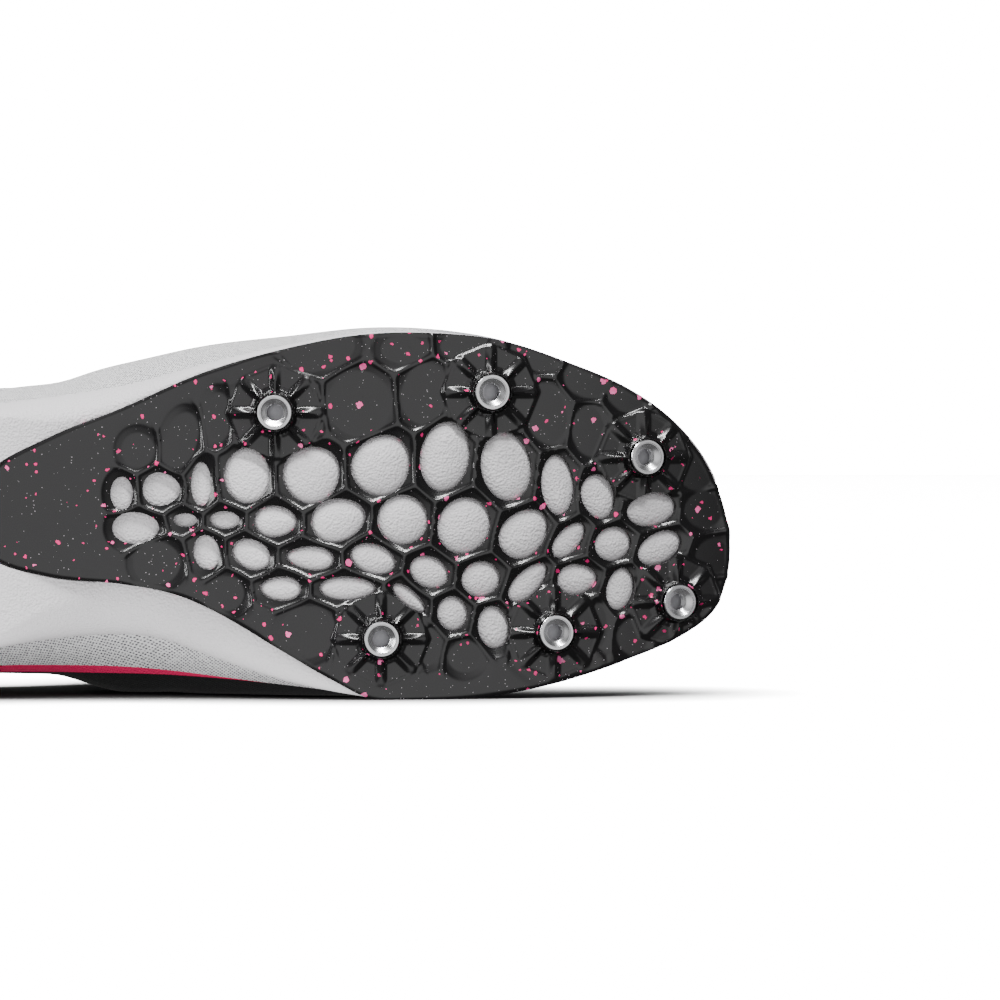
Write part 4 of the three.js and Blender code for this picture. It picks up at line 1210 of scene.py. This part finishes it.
def collar_tool():
    back, front = COLLAR_LINE[0][0] * SHOE_LENGTH, COLLAR_LINE[-1][0] * SHOE_LENGTH
    steps = 60
    corners = []
    for k in range(steps + 1):
        x = lerp(back, front, k / steps)
        corners.append((x, collar_at(x)))
    return side_prism("collar", corners + [(front, 2 * FORM_TOP), (back, 2 * FORM_TOP)])


def foam_top_tool():
    corners = []
    for k in range(COLUMNS + 1):
        x = FOAM_EDGES(column_share(k))[0]
        corners.append((x, foam_top_at(x) + FIT_GAP))
    end = SHOE_LENGTH + 30
    corners = [(-30, foam_top_at(0) + FIT_GAP)] + corners + [(end, foam_top_at(SHOE_LENGTH) + FIT_GAP)]
    return side_prism("foam_top", corners + [(end, -30), (-30, -30)])


def eyelet_spots(width):
    """Along, medial and lateral place of each pair of eyelets, from the front."""
    spots = []
    for k in range(EYELETS):
        x = lerp(FIRST_EYELET, LAST_EYELET, k / (EYELETS - 1))
        out = throat_half(x, 0, width) + EYELET_OUT
        spots.append((x, ridge_across(x) - out, ridge_across(x) + out))
    return spots


def weave_map(piece, rings):
    """Writes a UV map in millimetres along and up the rings, before anything is cut."""
    around = len(rings[0])
    grid = np.array(rings)
    along = np.linalg.norm(grid - np.roll(grid, 1, axis=1), axis=2)
    along = np.cumsum(along, axis=1)
    climbs = np.linalg.norm(np.diff(grid, axis=0), axis=2)
    up = np.concatenate([np.zeros((1, around)), np.cumsum(climbs, axis=0)])
    mesh = piece.data
    layer = mesh.uv_layers.new(name="weave")
    for face in mesh.polygons:
        for loop in face.loop_indices:
            vertex = mesh.loops[loop].vertex_index
            level, column = divmod(vertex, around)
            u = along[len(rings) // 3][column]
            layer.data[loop].uv = (u, up[min(level, len(rings) - 1)][column])


def last_piece(name, grow):
    rings = last_rings(grow)
    piece = new_piece(name, np.concatenate(rings), ring_faces(len(rings), len(rings[0])))
    weave_map(piece, rings)
    return merge_close(piece)


class SPIKE_OT_upper(bpy.types.Operator):
    """Builds the knit upper as one hollow shell, with the eyestay as a step in its wall"""

    bl_idname = "spike.upper"
    bl_label = "Knit Upper"

    def execute(self, context):
        sizes = context.scene.spike_upper
        width = sizes.throat_width
        lining = woven_cloth("collar_lining", "#3c3c42", "#66666e", 0.6)
        binding = woven_cloth("edge_binding", "#1d1d20", "#35353a", 0.4)
        cloths = [engineered_mesh(), welded_film(), lining, binding]
        stay = set_materials(last_piece("eyestay", sizes.eyestay_step), cloths, 1)
        around = set_materials(throat_prism(sizes.eyestay_width, THROAT_TOP, width), cloths, 1)
        combine(stay, around, "INTERSECT")
        shell = set_materials(last_piece("knit_upper", 0), cloths)
        combine(shell, stay, "UNION")
        combine(shell, set_materials(last_piece("inside", -sizes.wall), cloths, 2), "DIFFERENCE")
        combine(shell, set_materials(collar_tool(), cloths, 3), "DIFFERENCE")
        combine(shell, set_materials(throat_prism(0, LEG_CENTRE, width), cloths, 3), "DIFFERENCE")
        combine(shell, foam_top_tool(), "DIFFERENCE")
        combine(shell, below_floor(), "DIFFERENCE")
        holes = []
        for x, medial, lateral in eyelet_spots(width):
            for across in (medial, lateral):
                deselect()
                place = (x, -across, FORM_TOP / 2 + THROAT_FLOOR)
                bpy.ops.mesh.primitive_cylinder_add(
                    vertices=24, radius=EYELET_RADIUS, depth=FORM_TOP, location=place
                )
                holes.append(bpy.context.object)
                bpy.ops.object.transform_apply(location=True, rotation=True, scale=True)
        combine(shell, set_materials(join(holes, "holes"), cloths, 3), "DIFFERENCE")
        finish_piece(shell, ["upper"], None, 30)
        return {"FINISHED"}


class SPIKE_OT_inside(bpy.types.Operator):
    """Builds the insole and the tongue"""

    bl_idname = "spike.inside"
    bl_label = "Insole and Tongue"

    def execute(self, context):
        sizes = context.scene.spike_upper
        margin = UPPER_INSET + sizes.wall + FIT_GAP
        edge = push_out(ring_from(FOAM_EDGES, foam_top_at), -margin)
        base = np.array([foam_top_at(x) for x in edge[:, 0]]) + FIT_GAP
        insole = ring_solid(
            "cloth_insole",
            [
                at_heights(edge, base),
                at_heights(edge, base + 2.6),
                at_heights(push_out(edge, -0.6), base + 3.0),
            ],
        )
        combine(insole, below_floor(), "DIFFERENCE")
        cloth = woven_cloth("insole_cloth", "#17171a", "#2c2c31", 0.7)
        finish_piece(insole, ["insole"], cloth)
        outside = -sizes.wall - FIT_GAP
        tongue = last_piece("knit_tongue", outside)
        combine(tongue, last_piece("under", outside - sizes.tongue), "DIFFERENCE")
        region = throat_prism(7, RIDGE_LINE[0][1] * SHOE_LENGTH - 7, sizes.throat_width)
        combine(tongue, region, "INTERSECT")
        cloths = [bpy.data.materials["engineered_mesh"], bpy.data.materials["edge_binding"]]
        set_materials(tongue, cloths)
        half = sizes.throat_width * 0.8
        middle = -ridge_across(THROAT_TOP)
        corners = [(middle - half, THROAT_FLOOR), (middle + half, THROAT_FLOOR)]
        for k in range(13):
            turn = math.pi * k / 12
            corners.append((middle + half * math.cos(turn), TONGUE_TOP - 14 + 14 * math.sin(turn)))
        rounded = prism("rounded", corners, 0, LEG_CENTRE, THROAT_POINT + 20)
        combine(tongue, set_materials(rounded, cloths, 1), "INTERSECT")
        finish_piece(tongue, ["tongue"], None)
        return {"FINISHED"}


def evenly(rows, pitch):
    """Rows at an even pitch along a line, by their first three columns."""
    rows = np.array(rows)
    run = np.linalg.norm(np.diff(rows[:, :3], axis=0), axis=1)
    run = np.concatenate([[0], np.cumsum(run)])
    at = (np.arange(int(run[-1] / pitch)) + 0.5) * pitch
    return np.stack([np.interp(at, run, column) for column in rows.T], axis=1)


def stitch_row(line, pitch=2.5, reach=0.9, thick=0.3):
    """Short threads along a line of places and normals, each sunk at both ends."""
    spots = evenly(line, pitch)
    vertices = []
    faces = []
    stations = ((-1, 0.1), (-0.7, 0.8), (0, 1), (0.7, 0.8), (1, 0.1))
    sides = 6
    for spot, ahead in zip(spots, np.concatenate([spots[1:], spots[-1:]])):
        place = spot[:3]
        normal = spot[3:] / np.linalg.norm(spot[3:])
        run = ahead[:3] - place
        if not run.any():
            continue
        run /= np.linalg.norm(run)
        sideways = np.cross(normal, run)
        start = len(vertices)
        for at, size in stations:
            centre = place + run * at * reach + normal * (0.25 * size - 0.15)
            for k in range(sides):
                a = 2 * math.pi * k / sides
                vertices.append(centre + size * thick * (sideways * math.cos(a) + normal * math.sin(a)))
        for face in ring_faces(len(stations), sides, capped=False):
            faces.append([start + corner for corner in face])
        faces.append([start + k for k in reversed(range(sides))])
        faces.append([start + (len(stations) - 1) * sides + k for k in range(sides)])
    return new_piece("stitches", vertices, faces)


def collar_seam(form, below):
    """A line round the heel and the sides, some way below the collar's edge."""
    line = []
    for degrees in range(-128, 129, 2):
        turn = math.radians(degrees)
        z = 0.75 * COLLAR_HEIGHT
        for _ in range(4):
            start = Vector((LEG_CENTRE, -ridge_across(LEG_CENTRE), z))
            hit, place, normal, _ = form.ray_cast(start, Vector((-math.cos(turn), math.sin(turn), 0)))
            if not hit:
                raise RuntimeError("the collar seam misses the form")
            z = collar_at(place.x) - below
        if place.x < 0.36 * SHOE_LENGTH:
            line.append((*place, *normal))
    return line


class SPIKE_OT_seams(bpy.types.Operator):
    """Sews the eyestay and the collar with rows of stitches"""

    bl_idname = "spike.seams"
    bl_label = "Seams"

    def execute(self, context):
        sizes = context.scene.spike_upper
        stay = last_piece("stay_form", sizes.eyestay_step)
        form = last_piece("form", 0)
        bpy.context.view_layer.update()
        rows = []
        for offset in (STAY_SEAM_INSET, sizes.eyestay_width - STAY_SEAM_INSET):
            line = []
            for x, across in throat_line(offset, THROAT_TOP + 25, sizes.throat_width):
                hit, place, normal, _ = stay.ray_cast(Vector((x, -across, RAY_TOP)), Vector((0, 0, -1)))
                if not hit:
                    raise RuntimeError("the eyestay seam misses the form")
                line.append((*place, *normal))
            rows.append(stitch_row(line))
        for below in COLLAR_SEAMS:
            rows.append(stitch_row(collar_seam(form, below)))
        bpy.data.objects.remove(stay)
        bpy.data.objects.remove(form)
        thread = woven_cloth("seam_thread", "#a9a9b0", "#e6e6ea", 0.3)
        finish_piece(join(rows, "seam_stitches"), [], thread)
        return {"FINISHED"}


class SPIKE_OT_lace(bpy.types.Operator):
    """Builds the flat lace, run over the throat from eyelet to eyelet"""

    bl_idname = "spike.lace"
    bl_label = "Lace"

    def execute(self, context):
        sizes = context.scene.spike_upper
        form = last_piece("form", sizes.eyestay_step)
        bpy.context.view_layer.update()
        spots = eyelet_spots(sizes.throat_width)
        runs = [((spots[0][0], spots[0][1]), (spots[0][0], spots[0][2]), 0.4)]
        for low, high in zip(spots, spots[1:]):
            runs.append(((low[0], low[1]), (high[0], high[2]), 0.0))
            runs.append(((low[0], low[2]), (high[0], high[1]), 0.8))
        strips = [self.strip(form, run, sizes.lace_width) for run in runs]
        bpy.data.objects.remove(form)
        lace = join(strips, "flat_lace")
        cloth = woven_cloth("lace_cloth", "#c4c4c8", "#f6f6f8", 0.55)
        finish_piece(lace, ["lace"], cloth)
        return {"FINISHED"}

    def strip(self, form, run, width):
        """One run of lace, draped on the form, with both ends turned down through their eyelets."""
        (x0, a0), (x1, a1), lift = run
        direction = np.array([x1 - x0, a1 - a0])
        direction /= np.linalg.norm(direction)
        rings = []
        for k in range(LACE_STEPS + 1):
            share = k / LACE_STEPS
            x = lerp(x0, x1, share)
            across = lerp(a0, a1, share)
            ends = smoothstep(0, 0.14, min(share, 1 - share))
            narrow = lerp(0.5, 1, ends) * width / 2
            sink = (1 - ends) * LACE_SINK
            ring = []
            for side, level in ((-1, 0), (-0.8, 1), (0.8, 1), (1, 0), (0.8, -1), (-0.8, -1)):
                px = x - direction[1] * side * narrow
                pa = across + direction[0] * side * narrow
                hit, place, _, _ = form.ray_cast(Vector((px, -pa, RAY_TOP)), Vector((0, 0, -1)))
                base = place.z if hit else 0
                ring.append((px, -pa, base + 0.75 + lift * ends - sink + level * LACE_THICKNESS / 2))
            rings.append(np.array(ring))
        return facing_out(tube_solid("run", rings))


# The stage


def strip_light(name, target, offset, size, radiance):
    """A long softbox of a given brightness, aimed at the target."""
    light = bpy.data.lights.new(name, "AREA")
    light.shape = "RECTANGLE"
    light.size, light.size_y = size
    light.energy = radiance * math.pi * size[0] * size[1]
    lamp = bpy.data.objects.new(name, light)
    lamp.location = target + Vector(offset)
    lamp.rotation_euler = Vector([-step for step in offset]).to_track_quat("-Z", "Y").to_euler()
    bpy.context.collection.objects.link(lamp)
    return lamp


def studio_air(brightness, sides, back):
    """Soft walls of light in front of and behind the shoe, with darker sides between them."""
    world = bpy.data.worlds.new("studio_air")
    world.use_nodes = True
    tree = world.node_tree
    place = node(tree, "ShaderNodeTexCoord").outputs["Generated"]
    split = node(tree, "ShaderNodeSeparateXYZ", Vector=place).outputs
    toeward = maths(tree, "MAXIMUM", split["X"], 0.0)
    frontal = maths(tree, "MULTIPLY_ADD", toeward, -0.2, split["Y"])
    level = ranged(tree, frontal, -0.97, -0.7, brightness, sides)
    upward = ranged(tree, split["Z"], -0.2, 0.75, 0.2, 1.0)
    behind = ranged(tree, split["Y"], 0.15, 0.7, 0.0, back)
    strength = maths(tree, "MULTIPLY_ADD", behind, upward, level)
    feed(tree.nodes["Background"], Color=linear("#ffffff"), Strength=strength)
    return world


def sheet(name, material, hidden, **where):
    """A wide flat sheet of the stage, hidden from some kinds of ray."""
    deselect()
    bpy.ops.mesh.primitive_plane_add(size=9, **where)
    piece = bpy.context.object
    piece.name = name
    piece.data.materials.append(material)
    for ray in hidden:
        setattr(piece, f"visible_{ray}", False)
    return piece


class SPIKE_OT_stage(bpy.types.Operator):
    """Builds the floor, the backdrop, the lights and the camera"""

    bl_idname = "spike.stage"
    bl_label = "Stage"

    def execute(self, context):
        sizes = context.scene.spike_stage
        target = Vector((HEEL_X + 219.35 * MM, GROUND_Y + 5 * MM, 52.9 * MM))

        shadowed_floor_paper, tree, shader = blank_material("white_paper_painted_shadow")
        tone = mix(tree, noise(tree, object_place(tree), 40.0, 2.0), "#f8f8f8", "#ffffff")
        # Ambient occlusion darkens the floor's colour towards black near the shoe: a painted contact shadow.
        near = node(tree, "ShaderNodeAmbientOcclusion", {"samples": 12}, Distance=0.035)
        shade = maths(tree, "POWER", near.outputs["AO"], sizes.contact)
        feed(shader, Base_Color=mix(tree, shade, "#000000", tone), Roughness=0.9, Specular_IOR_Level=0.1)
        floor = sheet("floor", shadowed_floor_paper, ("diffuse", "glossy", "shadow"))

        glow, _, shader = blank_material("lit_backdrop")
        feed(shader, Emission_Color=linear("#ffffff"), Emission_Strength=18.0)
        upright = {"location": (0, 4.5, 4.0), "rotation": (math.pi / 2, 0, 0)}
        backdrop = sheet("backdrop", glow, ("diffuse", "glossy"), **upright)

        context.scene.world = studio_air(sizes.front, sizes.sides, sizes.back)
        strip_light("top_strip", target, (-0.15, -0.4, 0.95), (1.3, 0.05), sizes.strip)
        strip_light("left_strip", target, (-0.9, -0.5, 0.25), (0.04, 0.7), 0.25 * sizes.strip)
        under = Vector((HEEL_X + 60 * MM, GROUND_Y - 0.05, -0.002))
        bounce = strip_light("floor_bounce", under, (0, 0, 0), (0.24, 0.12), sizes.bounce)
        bounce.rotation_euler = (math.pi, 0, 0)
        bounce.visible_glossy = False
        bounce.visible_camera = False
        overhead = bpy.data.lights.new("overhead", "SUN")
        overhead.energy = 60.0
        overhead.angle = math.radians(100)
        above = bpy.data.objects.new("overhead", overhead)
        context.collection.objects.link(above)
        lit = bpy.data.collections.new("paper_only")
        lit.objects.link(floor)
        above.light_linking.receiver_collection = lit

        lens = bpy.data.cameras.new("camera")
        lens.lens = sizes.lens
        lens.sensor_width = 36
        camera = bpy.data.objects.new("camera", lens)
        away = Vector((0, -math.cos(sizes.elevation), math.sin(sizes.elevation)))
        camera.location = target + away * sizes.distance
        camera.rotation_euler = (-away).to_track_quat("-Z", "Y").to_euler()
        context.collection.objects.link(camera)
        context.scene.camera = camera
        return {"FINISHED"}


class SPIKE_PT_panel(bpy.types.Panel):
    """Lists the steps that dress the shoe"""

    bl_idname = "SPIKE_PT_panel"
    bl_label = "Spike Shoe"
    bl_space_type = "VIEW_3D"
    bl_region_type = "UI"
    bl_category = "Spike Shoe"

    def draw(self, context):
        for step in STEPS:
            self.layout.operator(step.bl_idname)


STEPS = (
    SPIKE_OT_plate,
    SPIKE_OT_seats,
    SPIKE_OT_midsole,
    SPIKE_OT_upper,
    SPIKE_OT_inside,
    SPIKE_OT_seams,
    SPIKE_OT_lace,
    SPIKE_OT_stage,
)
CLASSES = (SPIKE_PG_plate, SPIKE_PG_upper, SPIKE_PG_stage) + STEPS + (SPIKE_PT_panel,)


def register():
    for item in CLASSES:
        bpy.utils.register_class(item)
    bpy.types.Scene.spike_plate = PointerProperty(type=SPIKE_PG_plate)
    bpy.types.Scene.spike_upper = PointerProperty(type=SPIKE_PG_upper)
    bpy.types.Scene.spike_stage = PointerProperty(type=SPIKE_PG_stage)


def unregister():
    del bpy.types.Scene.spike_stage
    del bpy.types.Scene.spike_upper
    del bpy.types.Scene.spike_plate
    for item in reversed(CLASSES):
        bpy.utils.unregister_class(item)


def main():
    register()
    bpy.ops.spike.plate()
    bpy.ops.spike.seats()
    bpy.ops.spike.midsole()
    bpy.ops.spike.upper()
    bpy.ops.spike.inside()
    bpy.ops.spike.seams()
    bpy.ops.spike.lace()
    bpy.ops.spike.stage()


if __name__ == "__main__":
    main()
